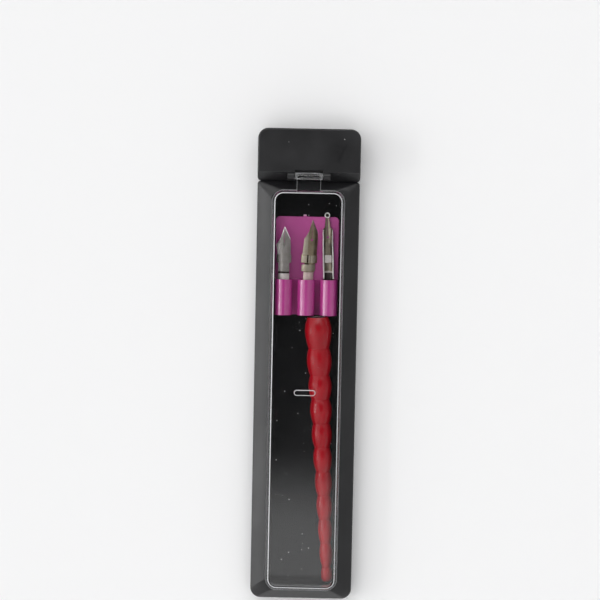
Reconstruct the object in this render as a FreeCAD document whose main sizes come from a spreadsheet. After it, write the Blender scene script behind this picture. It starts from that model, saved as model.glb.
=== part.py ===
import FreeCAD, Part
import Sketcher
import math
import os
import re

# A flat calligraphy set box. The black tray has a sloping frame around a long cavity, and an end
# cap behind a V groove. A clear raised lid turns on a bar in that groove. In the cavity lie a
# rack with three nibs in tubes and a beaded pen holder.
# Frame: X is the width, Y the length with the end cap at +Y, Z is up from the underside.

# Driving sizes in millimetres. The box is laid out from its contents outwards.
SIZES = {
    # nib rack
    "tube_diameter": 7.8,
    "tube_wall": 0.8,
    "tube_space": 2.2,
    "tube_length": 15.8,
    "tube_floor": 1.2,
    "tube_axis_rise": 3.8,
    "rack_length": 43.4,
    "rack_plate": 1.2,
    "rack_corner": 1.8,
    "rack_shift": 0.25,
    "gate_width": 1.4,
    "gate_length": 0.9,
    "gate_offset": 1.1,
    # nibs
    "nib_sheet": 0.28,
    "nib_gap": 0.3,
    "nib_depth": 7.0,
    "nib_step": 3.5,
    "nib_step_rise": 0.4,
    "nib_band_end": 7.1,
    "nib_clip_end": 11.0,
    "oblique_reach": 23.0,
    "oblique_shank_curve": 3.6,
    "oblique_shank_width": 4.9,
    "oblique_curve": 5.0,
    "oblique_width": 5.8,
    "pointed_reach": 26.0,
    "pointed_shank_curve": 3.6,
    "pointed_shank_width": 4.9,
    "pointed_curve": 4.6,
    "pointed_width": 7.0,
    "point_bead": 0.6,
    "disc_reach": 28.4,
    "disc_shank_curve": 2.5,
    "disc_shank_width": 4.5,
    "disc_curve": 2.5,
    "disc_width": 4.7,
    "disc_diameter": 2.6,
    "disc_thickness": 0.45,
    "disc_dish": 0.18,
    "slit_width": 0.14,
    "vent_diameter": 1.1,
    # ink reservoirs
    "clip_sheet": 0.25,
    "clip_length": 3.5,
    "clip_gap": 0.06,
    "oblique_clip_slot": 3.6,
    "pointed_clip_slot": 0.6,
    "bridge_width": 3.0,
    "tongue_width": 2.2,
    "tongue_length": 5.2,
    # pen holder
    "bulb_diameter": 11.8,
    "tail_diameter": 5.0,
    "head_diameter": 9.0,
    "head_length": 6.2,
    "bulb_fall": 8.9,
    "bead_pitch": 10.81,
    "tail_rise": 4.4,
    "tail_length": 2.4,
    "tail_flat": 1.6,
    "pen_gap": 0.3,
    "pen_head_gap": 0.6,
    "pen_end_gap": 0.91,
    "bulb_side_gap": 3.1,
    "tail_side_gap": 0.4,
    "socket_diameter": 7.2,
    "socket_end_gap": 1.5,
    "ferrule_wall": 0.4,
    "ferrule_length": 12.5,
    "ferrule_fit": 0.05,
    "clamp_diameter": 5.2,
    "clamp_wall": 0.45,
    "clamp_base": 1.0,
    "clamp_slot": 0.9,
    # tray
    "floor_thickness": 1.6,
    "wall": 1.6,
    "rack_side_gap": 0.5,
    "rack_setback": 10.3,
    "ledge_width": 1.6,
    "side_margin": 6.5,
    "end_margin": 3.7,
    "toe_margin": 4.5,
    "bevel_rise": 4.0,
    "frame_edge": 0.4,
    "foot_corner": 4.5,
    "groove_corner": 1.5,
    "cavity_corner": 3.6,
    # lid
    "head_room": 1.4,
    "lid_top": 1.2,
    "lid_height": 5.0,
    "lid_inset": 1.25,
    "lid_toe_inset": 2.0,
    "lid_corner": 5.2,
    "lid_edge": 0.9,
    "lip_depth": 1.0,
    "lip_gap": 0.15,
    "lip_wall": 0.6,
    "grip_length": 9.5,
    "grip_width": 2.6,
    "grip_height": 0.7,
    "catch_width": 9.0,
    "catch_radius": 0.3,
    # hinge of the lid
    "bar_diameter": 3.0,
    "bar_length": 12.0,
    "bar_side_gap": 0.3,
    "bar_back_gap": 1.2,
    "lug_wall": 0.7,
    "lug_end": 0.9,
    "trunnion_diameter": 2.4,
    "trunnion_length": 2.2,
    "hinge_fit": 0.06,
    "hinge_setback": 2.2,
    "hinge_drop": 0.5,
    "tab_width": 10.6,
    "tab_rise": 0.6,
    # end cap
    "cap_length": 23.0,
    "cap_rise": 1.5,
    "cap_slope": 4.0,
    "cap_wall": 1.6,
    "cap_block": 7.0,
    "cap_edge": 0.8,
    "heel_gap": 0.15,
    "post_diameter": 5.0,
    "post_spacing": 26.0,
    "post_fit": 0.05,
    "boss_wall": 1.4,
    # how far a cut runs past the face it opens
    "overrun": 2.0,
}

# Counts and shares, which are not lengths.
BEAD_COUNT = 11
NECK_SHARE = 0.82
CLAMP_LEAVES = 4
EDGE_FACETS = 3
EASE_SHARE = 0.06
GRIP_ROUND_SHARE = 0.49
POINTED_ROLL = 24.0
POINTED_YAW = 3.0
DISC_ROLL = 180.0
DISC_YAW = -2.2
OBLIQUE_SLIT_SHARE = 0.62
POINTED_SLIT_SHARE = 0.56
DISC_SLIT_SHARE = 0.56
LEVEL_SHARE = 0.001

# Each nib in front of its clip, as rows of shares from the clip to the point: the distance along
# the stretch, the left and right half widths, the curve radius and the crown height.
OBLIQUE_SHARES = (
    (0.36, 1.20, 1.00, 1.30, 1.00),
    (0.60, 0.54, 0.90, 1.30, 0.98),
    (1.00, 0.05, 0.12, 1.20, 0.80),
)
POINTED_SHARES = (
    (0.46, 0.92, 0.98, 1.10, 1.00),
    (0.68, 0.44, 0.84, 1.10, 0.97),
    (1.00, 0.07, 0.07, 1.00, 0.82),
)
DISC_SHARES = (
    (0.64, 0.96, 0.96, 1.05, 1.00),
    (0.70, 0.56, 0.56, 1.05, 1.00),
    (1.00, 0.28, 0.28, 1.00, 0.92),
)

# Levels and places worked out from the sizes.
FLOOR_Z = "floor_thickness"
LID_UNDER_Z = f"({FLOOR_Z} + bulb_diameter + head_room)"
BOX_TOP_Z = f"({LID_UNDER_Z} + lid_top)"
LEDGE_Z = f"({BOX_TOP_Z} - lid_height)"
SIDE_Z = f"({LEDGE_Z} - bevel_rise)"
CAP_TOP_Z = f"({LEDGE_Z} + cap_rise)"
TUBE_Z = f"({FLOOR_Z} + rack_plate + tube_axis_rise)"
HINGE_Z = f"({LEDGE_Z} - hinge_drop)"

RACK_WIDTH = "(3 * tube_diameter + 2 * tube_space)"
CAVITY_WIDTH = f"({RACK_WIDTH} + 2 * rack_side_gap)"
LID_WIDTH = f"({CAVITY_WIDTH} + 2 * ledge_width)"
BOX_WIDTH = f"({LID_WIDTH} + 2 * side_margin)"
LID_INNER_WIDTH = f"({CAVITY_WIDTH} - 2 * lip_gap - 2 * lip_wall)"

NECK_RUN = f"(bulb_fall + {BEAD_COUNT - 2} * bead_pitch)"
PEN_LENGTH = f"(head_length + {NECK_RUN} + tail_rise + tail_length)"
SOCKET_DEPTH = "(ferrule_length + socket_end_gap)"
CAVITY_LENGTH = f"(pen_end_gap + {PEN_LENGTH} + pen_head_gap + rack_length + rack_setback)"
LID_LENGTH = f"({CAVITY_LENGTH} + 2 * ledge_width)"
TRAY_LENGTH = f"({LID_LENGTH} + end_margin + toe_margin)"
LID_INNER_LENGTH = f"({CAVITY_LENGTH} - 2 * lip_gap - 2 * lip_wall)"

TRAY_Y = "(-cap_length / 2)"
LID_Y = f"({TRAY_Y} + (toe_margin - end_margin) / 2)"
CAP_Y = f"({TRAY_LENGTH} / 2)"
GROOVE_Y = f"({TRAY_Y} + {TRAY_LENGTH} / 2)"
CAVITY_LOW_Y = f"({LID_Y} - {CAVITY_LENGTH} / 2)"
CAVITY_HIGH_Y = f"({LID_Y} + {CAVITY_LENGTH} / 2)"
RACK_HIGH_Y = f"({CAVITY_HIGH_Y} - rack_setback)"
RACK_LOW_Y = f"({RACK_HIGH_Y} - rack_length)"
TUBE_MOUTH_Y = f"({RACK_LOW_Y} + tube_length)"
HINGE_Y = f"({GROOVE_Y} + hinge_setback)"
PEN_HEAD_Y = f"({RACK_LOW_Y} - pen_head_gap)"
HOLLOW_Y = f"({GROOVE_Y} + cap_block)"
HOLLOW_LENGTH = "(cap_length - cap_block - cap_wall)"

TUBE_PITCH = "(tube_diameter + tube_space)"
BORE_RADIUS = "(tube_diameter / 2 - tube_wall)"
SHANK_RADIUS = f"({BORE_RADIUS} - nib_gap)"
RACK_X = "(-rack_shift)"


doc = FreeCAD.newDocument("calligraphy_set_box")
sheet = doc.addObject("Spreadsheet::Sheet", "sizes")
for row, (alias, value) in enumerate(SIZES.items(), start=1):
    sheet.set(f"A{row}", alias)
    sheet.set(f"B{row}", str(value))
    sheet.setAlias(f"B{row}", alias)
doc.recompute()


def bound(text):
    """Write the sheet's name before each size named in an expression."""
    return re.sub(r"[a-z_]+", lambda word: f"sizes.{word[0]}" if word[0] in SIZES else word[0], text)


def amount(text):
    """Work out an expression in the sheet's sizes."""
    return float(sheet.evalExpression(bound(text)))


def point(x, y, z=0.0):
    return FreeCAD.Vector(x, y, z)


# Sketch and feature helpers.

def new_body(name):
    body = doc.addObject("PartDesign::Body", name)
    body.Label = name
    return body


def bind_place(target, path, place):
    """Bind the three coordinates of a placement to expressions."""
    for axis, text in zip("xyz", place):
        target.setExpression(f"{path}.Base.{axis}", bound(text))


def new_sketch(body, name, role, place=("0", "0", "0")):
    """Start a sketch on one of the body's own planes, moved by place in the plane's axes."""
    sketch = body.newObject("Sketcher::SketchObject", name)
    plane = next(item for item in body.Origin.OriginFeatures if item.Role == role)
    sketch.AttachmentSupport = [(plane, "")]
    sketch.MapMode = "FlatFace"
    bind_place(sketch, "AttachmentOffset", place)
    return sketch


def dimension(sketch, text, *kind_and_points):
    """Add one dimension to a sketch, bound to an expression."""
    index = sketch.addConstraint(Sketcher.Constraint(*kind_and_points, amount(text)))
    sketch.setExpression(f"Constraints[{index}]", bound(text))


def arc_of(centre, radius, start, end):
    circle = Part.Circle(centre, point(0, 0, 1), radius)
    return Part.ArcOfCircle(circle, math.radians(start), math.radians(end))


def rounded_rectangle(sketch, width, length, low_radius, high_radius):
    """Draw a centred rectangle with one radius at its low corners and one at its high corners."""
    half_x, half_y = amount(width) / 2, amount(length) / 2
    low, high = amount(low_radius), amount(high_radius)
    bottom = sketch.addGeometry(Part.LineSegment(point(low - half_x, -half_y), point(half_x - low, -half_y)))
    low_right = sketch.addGeometry(arc_of(point(half_x - low, low - half_y), low, 270, 360))
    right = sketch.addGeometry(Part.LineSegment(point(half_x, low - half_y), point(half_x, half_y - high)))
    high_right = sketch.addGeometry(arc_of(point(half_x - high, half_y - high), high, 0, 90))
    top = sketch.addGeometry(Part.LineSegment(point(half_x - high, half_y), point(high - half_x, half_y)))
    high_left = sketch.addGeometry(arc_of(point(high - half_x, half_y - high), high, 90, 180))
    left = sketch.addGeometry(Part.LineSegment(point(-half_x, half_y - high), point(-half_x, low - half_y)))
    low_left = sketch.addGeometry(arc_of(point(low - half_x, low - half_y), low, 180, 270))
    ring = (bottom, low_right, right, high_right, top, high_left, left, low_left)
    for here, after in zip(ring, ring[1:] + ring[:1]):
        sketch.addConstraint(Sketcher.Constraint("Tangent", here, 2, after, 1))
    for line in (bottom, top):
        sketch.addConstraint(Sketcher.Constraint("Horizontal", line))
    for line in (left, right):
        sketch.addConstraint(Sketcher.Constraint("Vertical", line))
    dimension(sketch, f"{width} / 2", "DistanceX", -1, 1, right, 1)
    dimension(sketch, f"{width} / 2", "DistanceX", left, 1, -1, 1)
    dimension(sketch, f"{length} / 2", "DistanceY", -1, 1, top, 1)
    dimension(sketch, f"{length} / 2", "DistanceY", bottom, 1, -1, 1)
    for arc, radius in ((low_right, low_radius), (low_left, low_radius),
                        (high_right, high_radius), (high_left, high_radius)):
        dimension(sketch, radius, "Radius", arc)


def circle_at(sketch, x, y, radius):
    """Draw a circle whose centre and radius are bound to expressions."""
    circle = sketch.addGeometry(Part.Circle(point(amount(x), amount(y)), point(0, 0, 1), amount(radius)))
    dimension(sketch, x, "DistanceX", -1, 1, circle, 3)
    dimension(sketch, y, "DistanceY", -1, 1, circle, 3)
    dimension(sketch, radius, "Radius", circle)


def polygon(sketch, corners):
    """Draw a closed outline of straight lines through corners given as expressions."""
    spots = [point(amount(x), amount(y)) for x, y in corners]
    lines = [sketch.addGeometry(Part.LineSegment(here, after))
             for here, after in zip(spots, spots[1:] + spots[:1])]
    for here, after in zip(lines, lines[1:] + lines[:1]):
        sketch.addConstraint(Sketcher.Constraint("Coincident", here, 2, after, 1))
    for line, (x, y) in zip(lines, corners):
        dimension(sketch, x, "DistanceX", -1, 1, line, 1)
        dimension(sketch, y, "DistanceY", -1, 1, line, 1)


def sheet_arc(sketch, radius, thickness, left, right):
    """Draw a curved strip of sheet metal about the sketch's origin, with ends cut square to the curve."""
    outer, inner = amount(radius), amount(radius) - amount(thickness)
    start = 90 - math.degrees(math.asin(amount(right) / outer))
    end = 90 + math.degrees(math.asin(amount(left) / outer))
    over = sketch.addGeometry(arc_of(point(0, 0), outer, start, end))
    under = sketch.addGeometry(arc_of(point(0, 0), inner, start, end))
    ends = []
    for angle in (start, end):
        way = point(math.cos(math.radians(angle)), math.sin(math.radians(angle)))
        ends.append(sketch.addGeometry(Part.LineSegment(way * inner, way * outer)))
    for arc in (over, under):
        sketch.addConstraint(Sketcher.Constraint("Coincident", arc, 3, -1, 1))
    for side, line in enumerate(ends, start=1):
        sketch.addConstraint(Sketcher.Constraint("Coincident", line, 2, over, side))
        sketch.addConstraint(Sketcher.Constraint("Coincident", line, 1, under, side))
        sketch.addConstraint(Sketcher.Constraint("PointOnObject", -1, 1, line))
    dimension(sketch, radius, "Radius", over)
    dimension(sketch, f"{radius} - {thickness}", "Radius", under)
    dimension(sketch, right, "DistanceX", -1, 1, over, 1)
    dimension(sketch, left, "DistanceX", over, 2, -1, 1)


def arched_outline(sketch, radius, half_width, chord_rise):
    """Draw an arch about the sketch's origin, closed by upright sides and a level chord."""
    size, half, rise = amount(radius), amount(half_width), amount(chord_rise)
    spring = math.sqrt(size * size - half * half)
    lean = math.degrees(math.acos(half / size))
    arch = sketch.addGeometry(arc_of(point(0, 0), size, lean, 180 - lean))
    left = sketch.addGeometry(Part.LineSegment(point(-half, spring), point(-half, rise)))
    chord = sketch.addGeometry(Part.LineSegment(point(-half, rise), point(half, rise)))
    right = sketch.addGeometry(Part.LineSegment(point(half, rise), point(half, spring)))
    ring = (arch, left, chord, right)
    for here, after in zip(ring, ring[1:] + ring[:1]):
        sketch.addConstraint(Sketcher.Constraint("Coincident", here, 2, after, 1))
    sketch.addConstraint(Sketcher.Constraint("Coincident", arch, 3, -1, 1))
    sketch.addConstraint(Sketcher.Constraint("Horizontal", chord))
    for side in (left, right):
        sketch.addConstraint(Sketcher.Constraint("Vertical", side))
    dimension(sketch, radius, "Radius", arch)
    dimension(sketch, half_width, "DistanceX", -1, 1, right, 1)
    dimension(sketch, half_width, "DistanceX", left, 1, -1, 1)
    dimension(sketch, chord_rise, "DistanceY", -1, 1, chord, 1)


def extrude(body, kind, name, sketch, length, turned=False):
    """Pad or Pocket a sketch by a length."""
    feature = body.newObject(f"PartDesign::{kind}", name)
    feature.Profile = (sketch, [""])
    feature.setExpression("Length", bound(length))
    feature.Reversed = turned
    return feature


def loft(body, name, sketches):
    """Join sketches by straight rulings."""
    feature = body.newObject("PartDesign::AdditiveLoft", name)
    feature.Profile = (sketches[0], [""])
    feature.Sections = [(sketch, [""]) for sketch in sketches[1:]]
    feature.Ruled = True
    return feature


def block(body, kind, name, low, size):
    """Add or cut a box, given its low corner and its size."""
    feature = body.newObject(f"PartDesign::{kind}Box", name)
    for side, text in zip(("Length", "Width", "Height"), size):
        feature.setExpression(side, bound(text))
    bind_place(feature, "Placement", low)
    return feature


TURN_TO_AXIS = {
    "x": FreeCAD.Rotation(point(0, 1, 0), 90),
    "y": FreeCAD.Rotation(point(1, 0, 0), -90),
    "z": FreeCAD.Rotation(),
}


def rod(body, kind, name, axis, start, radius, length):
    """Add or cut a cylinder that runs from start along an axis."""
    feature = body.newObject(f"PartDesign::{kind}Cylinder", name)
    feature.setExpression("Radius", bound(radius))
    feature.setExpression("Height", bound(length))
    feature.Placement = FreeCAD.Placement(point(0, 0), TURN_TO_AXIS[axis])
    bind_place(feature, "Placement", start)
    return feature


def round_edges(body, name, base, wanted, radius):
    """Fillet the edges of a feature that pass the wanted test."""
    doc.recompute()
    names = [f"Edge{index}" for index, edge in enumerate(base.Shape.Edges, start=1) if wanted(edge)]
    feature = body.newObject("PartDesign::Fillet", name)
    feature.Base = (base, names)
    feature.setExpression("Radius", bound(radius))
    return feature


def lies_at(edge, height):
    """Tell whether a whole edge lies at one height."""
    box = edge.BoundBox
    return max(abs(box.ZMin - height), abs(box.ZMax - height)) < LEVEL_SHARE * amount("overrun")


# Tray and end cap.

def make_tray():
    """The black box bottom: walls, sloping frame, cavity, hollow underside and heel plate."""
    body = new_body("tray")
    outline = new_sketch(body, "tray_outline", "XY_Plane", ("0", TRAY_Y, "0"))
    rounded_rectangle(outline, BOX_WIDTH, TRAY_LENGTH, "foot_corner", "groove_corner")
    extrude(body, "Pad", "tray_sides", outline, f"{SIDE_Z} - frame_edge")

    # The frame slopes up to the lid from an eased outer edge.
    frame_foot = new_sketch(body, "frame_foot", "XY_Plane", ("0", TRAY_Y, f"{SIDE_Z} - frame_edge"))
    rounded_rectangle(frame_foot, BOX_WIDTH, TRAY_LENGTH, "foot_corner", "groove_corner")
    frame_ease = new_sketch(body, "frame_ease", "XY_Plane",
                            ("0", f"{TRAY_Y} + {EASE_SHARE} * (toe_margin - end_margin) / 2",
                             f"{SIDE_Z} + {EASE_SHARE} * bevel_rise"))
    rounded_rectangle(frame_ease, f"({BOX_WIDTH} - {2 * EASE_SHARE} * side_margin)",
                      f"({TRAY_LENGTH} - {EASE_SHARE} * (end_margin + toe_margin))",
                      "foot_corner", "groove_corner")
    frame_top = new_sketch(body, "frame_top", "XY_Plane", ("0", LID_Y, LEDGE_Z))
    rounded_rectangle(frame_top, LID_WIDTH, LID_LENGTH, "lid_corner", "lid_corner")
    loft(body, "sloping_frame", (frame_foot, frame_ease, frame_top))

    # The underside is cored out between the outer wall and the wall of the cavity.
    core = new_sketch(body, "underside_core", "XY_Plane", ("0", TRAY_Y, "0"))
    rounded_rectangle(core, f"({BOX_WIDTH} - 2 * wall)", f"({TRAY_LENGTH} - 2 * wall)",
                      "(foot_corner - wall / 2)", "groove_corner")
    extrude(body, "Pocket", "underside_hollow", core, f"{SIDE_Z} - wall", turned=True)
    well = new_sketch(body, "cavity_wall", "XY_Plane", ("0", LID_Y, "0"))
    rounded_rectangle(well, f"({CAVITY_WIDTH} + 2 * wall)", f"({CAVITY_LENGTH} + 2 * wall)",
                      "(cavity_corner + wall)", "(cavity_corner + wall)")
    extrude(body, "Pad", "cavity_block", well, SIDE_Z)
    mouth = new_sketch(body, "cavity_mouth", "XY_Plane", ("0", LID_Y, LEDGE_Z))
    rounded_rectangle(mouth, CAVITY_WIDTH, CAVITY_LENGTH, "cavity_corner", "cavity_corner")
    extrude(body, "Pocket", "cavity", mouth, f"{LEDGE_Z} - {FLOOR_Z}")

    # The catch groove takes the bead on the free end of the lid.
    rod(body, "Subtractive", "catch_groove", "x",
        ("-catch_width / 2 - lip_gap", CAVITY_LOW_Y, f"{LEDGE_Z} - lip_depth / 2"),
        "catch_radius + lip_gap", "catch_width + 2 * lip_gap")

    # The heel plate closes the end cap from below, and its posts hold the cap.
    heel = new_sketch(body, "heel_outline", "XY_Plane", ("0", CAP_Y, "0"))
    rounded_rectangle(heel, f"({BOX_WIDTH} - 2 * cap_wall - 2 * heel_gap)",
                      "(cap_length - 2 * cap_wall - 2 * heel_gap)",
                      "groove_corner", "(foot_corner - cap_wall)")
    extrude(body, "Pad", "heel_plate", heel, "floor_thickness")
    block(body, "Additive", "heel_bridge",
          (f"-{BOX_WIDTH} / 4", f"{GROOVE_Y} - wall", "0"),
          (f"{BOX_WIDTH} / 2", "wall + cap_wall + 2 * heel_gap", "floor_thickness"))
    for side in (-1, 1):
        rod(body, "Additive", f"cap_post_{side + 2}", "z",
            (f"{side} * post_spacing / 2", f"{HOLLOW_Y} + {HOLLOW_LENGTH} / 2", "0"),
            "post_diameter / 2", f"{CAP_TOP_Z} - cap_wall - heel_gap")
    return body


def make_end_cap():
    """The hollow block behind the groove, with the pocket, lugs and bearing holes of the hinge."""
    body = new_body("end_cap")
    outline = new_sketch(body, "cap_outline", "XY_Plane", ("0", CAP_Y, "0"))
    rounded_rectangle(outline, BOX_WIDTH, "cap_length", "groove_corner", "foot_corner")
    shell = extrude(body, "Pad", "cap_block", outline, CAP_TOP_Z)
    top = amount(CAP_TOP_Z)
    round_edges(body, "cap_top_edge", shell, lambda edge: lies_at(edge, top), "cap_edge")

    # The side facing the lid slopes down to the bottom of the groove.
    slope = new_sketch(body, "groove_slope", "YZ_Plane", ("0", "0", f"-{BOX_WIDTH} / 2 - overrun"))
    polygon(slope, ((f"{GROOVE_Y} - overrun", SIDE_Z),
                    (GROOVE_Y, SIDE_Z),
                    (f"{GROOVE_Y} + cap_slope", CAP_TOP_Z),
                    (f"{GROOVE_Y} + cap_slope", f"{CAP_TOP_Z} + overrun"),
                    (f"{GROOVE_Y} - overrun", f"{CAP_TOP_Z} + overrun")))
    extrude(body, "Pocket", "groove_face", slope, f"{BOX_WIDTH} + 2 * overrun", turned=True)

    hollow = new_sketch(body, "cap_hollow", "XY_Plane",
                        ("0", f"{HOLLOW_Y} + {HOLLOW_LENGTH} / 2", "0"))
    rounded_rectangle(hollow, f"({BOX_WIDTH} - 2 * cap_wall)", HOLLOW_LENGTH,
                      "groove_corner", "(foot_corner - cap_wall)")
    extrude(body, "Pocket", "cap_inside", hollow, f"{CAP_TOP_Z} - cap_wall", turned=True)

    # Room for the heel plate under the front block, open towards the tray for its bridge.
    heel_room = new_sketch(body, "heel_room", "XY_Plane", ("0", CAP_Y, "0"))
    rounded_rectangle(heel_room, f"({BOX_WIDTH} - 2 * cap_wall)", "(cap_length - 2 * cap_wall)",
                      "groove_corner", "(foot_corner - cap_wall)")
    extrude(body, "Pocket", "heel_recess", heel_room, "floor_thickness + heel_gap", turned=True)
    block(body, "Subtractive", "bridge_gate",
          (f"-{BOX_WIDTH} / 4 - heel_gap", f"{GROOVE_Y} - overrun", "0"),
          (f"{BOX_WIDTH} / 2 + 2 * heel_gap", "overrun + 2 * cap_wall", "floor_thickness + heel_gap"))

    # Bosses under the top take the posts of the heel plate.
    boss_low = f"({FLOOR_Z} + heel_gap + wall)"
    for side in (-1, 1):
        centre = (f"{side} * post_spacing / 2", f"{HOLLOW_Y} + {HOLLOW_LENGTH} / 2")
        rod(body, "Additive", f"boss_{side + 2}", "z", (*centre, boss_low),
            "post_diameter / 2 + boss_wall", f"{CAP_TOP_Z} - cap_wall / 2 - {boss_low}")
        rod(body, "Subtractive", f"boss_bore_{side + 2}", "z", (*centre, "0"),
            "post_diameter / 2 + post_fit", f"{CAP_TOP_Z} - cap_wall")

    # The hinge pocket runs between two lugs, with a blind bearing hole in each.
    pocket_half = "(bar_length / 2 + bar_side_gap)"
    lug_half = f"({pocket_half} + trunnion_length + lug_end)"
    rod(body, "Additive", "hinge_lugs", "x", (f"-{lug_half}", HINGE_Y, HINGE_Z),
        "trunnion_diameter / 2 + hinge_fit + lug_wall", f"2 * {lug_half}")
    block(body, "Subtractive", "hinge_pocket",
          (f"-{pocket_half}", f"{GROOVE_Y} - overrun", f"{HINGE_Z} - bar_diameter / 2 - bar_side_gap"),
          (f"2 * {pocket_half}", "overrun + hinge_setback + bar_diameter / 2 + bar_back_gap",
           "bar_diameter + cap_rise + hinge_drop + overrun"))
    bearing_half = f"({pocket_half} + trunnion_length)"
    rod(body, "Subtractive", "bearing_holes", "x", (f"-{bearing_half}", HINGE_Y, HINGE_Z),
        "trunnion_diameter / 2 + hinge_fit", f"2 * {bearing_half}")
    return body


# Lid.

def lid_level(body, name, z, inset, toe_inset):
    """One level of the lid's outside, drawn in from its foot by an inset, and by another at the free end."""
    sketch = new_sketch(body, name, "XY_Plane", ("0", f"{LID_Y} + ({toe_inset} - {inset}) / 2", z))
    corner = f"(lid_corner - {inset})"
    rounded_rectangle(sketch, f"({LID_WIDTH} - 2 * {inset})", f"({LID_LENGTH} - {inset} - {toe_inset})",
                      corner, corner)
    return sketch


def make_lid():
    """The clear lid: drafted shell, locating lip with its catch, thumb bar and hinge tab."""
    body = new_body("lid")
    wall_share = "((lid_height - lid_edge) / lid_height)"
    levels = [lid_level(body, "lid_foot", LEDGE_Z, "0", "0")]
    for index in range(EDGE_FACETS + 1):
        angle = math.pi / 2 * index / EDGE_FACETS
        rise = f"{math.sin(angle):.6f} * lid_edge"
        run = f"{1 - math.cos(angle):.6f} * lid_edge"
        levels.append(lid_level(body, f"lid_edge_{index}", f"{BOX_TOP_Z} - lid_edge + {rise}",
                                f"({wall_share} * lid_inset + {run})",
                                f"({wall_share} * lid_toe_inset + {run})"))
    loft(body, "lid_shell", levels)

    lip = new_sketch(body, "lip_outline", "XY_Plane", ("0", LID_Y, LEDGE_Z))
    rounded_rectangle(lip, f"({CAVITY_WIDTH} - 2 * lip_gap)", f"({CAVITY_LENGTH} - 2 * lip_gap)",
                      "(cavity_corner - lip_gap)", "(cavity_corner - lip_gap)")
    extrude(body, "Pad", "lip", lip, "lip_depth", turned=True)
    inside = new_sketch(body, "lid_inside", "XY_Plane", ("0", LID_Y, f"{LEDGE_Z} - lip_depth"))
    rounded_rectangle(inside, LID_INNER_WIDTH, LID_INNER_LENGTH,
                      "(cavity_corner - lip_gap - lip_wall)", "(cavity_corner - lip_gap - lip_wall)")
    extrude(body, "Pocket", "lid_hollow", inside, f"{LID_UNDER_Z} - {LEDGE_Z} + lip_depth", turned=True)
    rod(body, "Additive", "catch_bead", "x",
        ("-catch_width / 2", f"{CAVITY_LOW_Y} + lip_gap", f"{LEDGE_Z} - lip_depth / 2"),
        "catch_radius", "catch_width")

    grip = new_sketch(body, "grip_outline", "XY_Plane", ("0", LID_Y, BOX_TOP_Z))
    grip_corner = f"({GRIP_ROUND_SHARE} * grip_width)"
    rounded_rectangle(grip, "grip_length", "grip_width", grip_corner, grip_corner)
    extrude(body, "Pad", "thumb_bar", grip, "grip_height")

    # The tab reaches over the frame to the hinge bar, whose ends carry the trunnions.
    block(body, "Additive", "hinge_tab",
          ("-tab_width / 2", f"{GROOVE_Y} - end_margin - lid_inset", f"{HINGE_Z} + tab_rise"),
          ("tab_width", "end_margin + lid_inset + hinge_setback", "bar_diameter / 2 - tab_rise"))
    rod(body, "Additive", "hinge_bar", "x", ("-bar_length / 2", HINGE_Y, HINGE_Z),
        "bar_diameter / 2", "bar_length")
    trunnion_half = "(bar_length / 2 + trunnion_length)"
    rod(body, "Additive", "trunnions", "x", (f"-{trunnion_half}", HINGE_Y, HINGE_Z),
        "trunnion_diameter / 2", f"2 * {trunnion_half}")
    return body


# Nib rack, nibs and reservoirs.

def make_nib_rack():
    """The purple plate with three blind tubes for the nibs."""
    body = new_body("nib_rack")
    plate_y = f"({RACK_LOW_Y} + rack_length / 2)"
    plate = new_sketch(body, "plate_outline", "XY_Plane", (RACK_X, plate_y, FLOOR_Z))
    rounded_rectangle(plate, RACK_WIDTH, "rack_length", "(rack_corner / 2)", "rack_corner")
    extrude(body, "Pad", "plate", plate, "rack_plate")
    block(body, "Additive", "gate",
          (f"{RACK_X} - gate_offset - gate_width / 2", f"{RACK_HIGH_Y} - gate_length", FLOOR_Z),
          ("gate_width", "2 * gate_length", "rack_plate"))
    block(body, "Additive", "tube_web",
          (f"{RACK_X} - {RACK_WIDTH} / 2 + rack_corner / 2", RACK_LOW_Y, FLOOR_Z),
          (f"{RACK_WIDTH} - rack_corner", "tube_length",
           "rack_plate + tube_axis_rise - tube_diameter / 2 + tube_wall / 2"))
    tubes = new_sketch(body, "tube_circles", "XZ_Plane", (RACK_X, TUBE_Z, f"-{RACK_LOW_Y}"))
    bores = new_sketch(body, "bore_circles", "XZ_Plane", (RACK_X, TUBE_Z, f"-{TUBE_MOUTH_Y}"))
    for place in (-1, 0, 1):
        circle_at(tubes, f"{place} * {TUBE_PITCH}", "0", "tube_diameter / 2")
        circle_at(bores, f"{place} * {TUBE_PITCH}", "0", BORE_RADIUS)
    extrude(body, "Pad", "tubes", tubes, "tube_length", turned=True)
    extrude(body, "Pocket", "bores", bores, "tube_length - tube_floor", turned=True)
    return body


def place_in_tube(body, place, roll=0.0, yaw=0.0):
    """Set a nib in its tube, rolled about the tube's axis and turned about the middle of its shank."""
    turn = FreeCAD.Rotation(point(0, 0, 1), -yaw).multiply(FreeCAD.Rotation(point(0, 1, 0), roll))
    body.Placement = FreeCAD.Placement(point(0, 0), turn)
    swing_share = math.sin(math.radians(yaw)) / 2
    axis_x = f"{RACK_X} + {place} * {TUBE_PITCH}"
    bind_place(body, "Placement", (f"{axis_x} + {swing_share:.6f} * nib_depth", TUBE_MOUTH_Y, TUBE_Z))


def nib_section(body, name, y, curve, crown, left, right):
    """One cross section of a nib's sheet, at a distance y in front of the tube's mouth."""
    sketch = new_sketch(body, name, "XZ_Plane", ("0", f"{crown} - {curve}", f"-({y})"))
    sheet_arc(sketch, curve, "nib_sheet", left, right)
    return sketch


def shank_crown(kind):
    """The height of a shank's crown over the tube's axis, at which its edges and crown clear the tube."""
    half = f"({kind}_shank_width / 2)"
    edge = f"sqrt({SHANK_RADIUS}^2 - {half}^2)"
    arch = f"{kind}_shank_curve - sqrt({kind}_shank_curve^2 - {half}^2)"
    return f"min({SHANK_RADIUS}; {edge} + {arch})"


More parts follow.
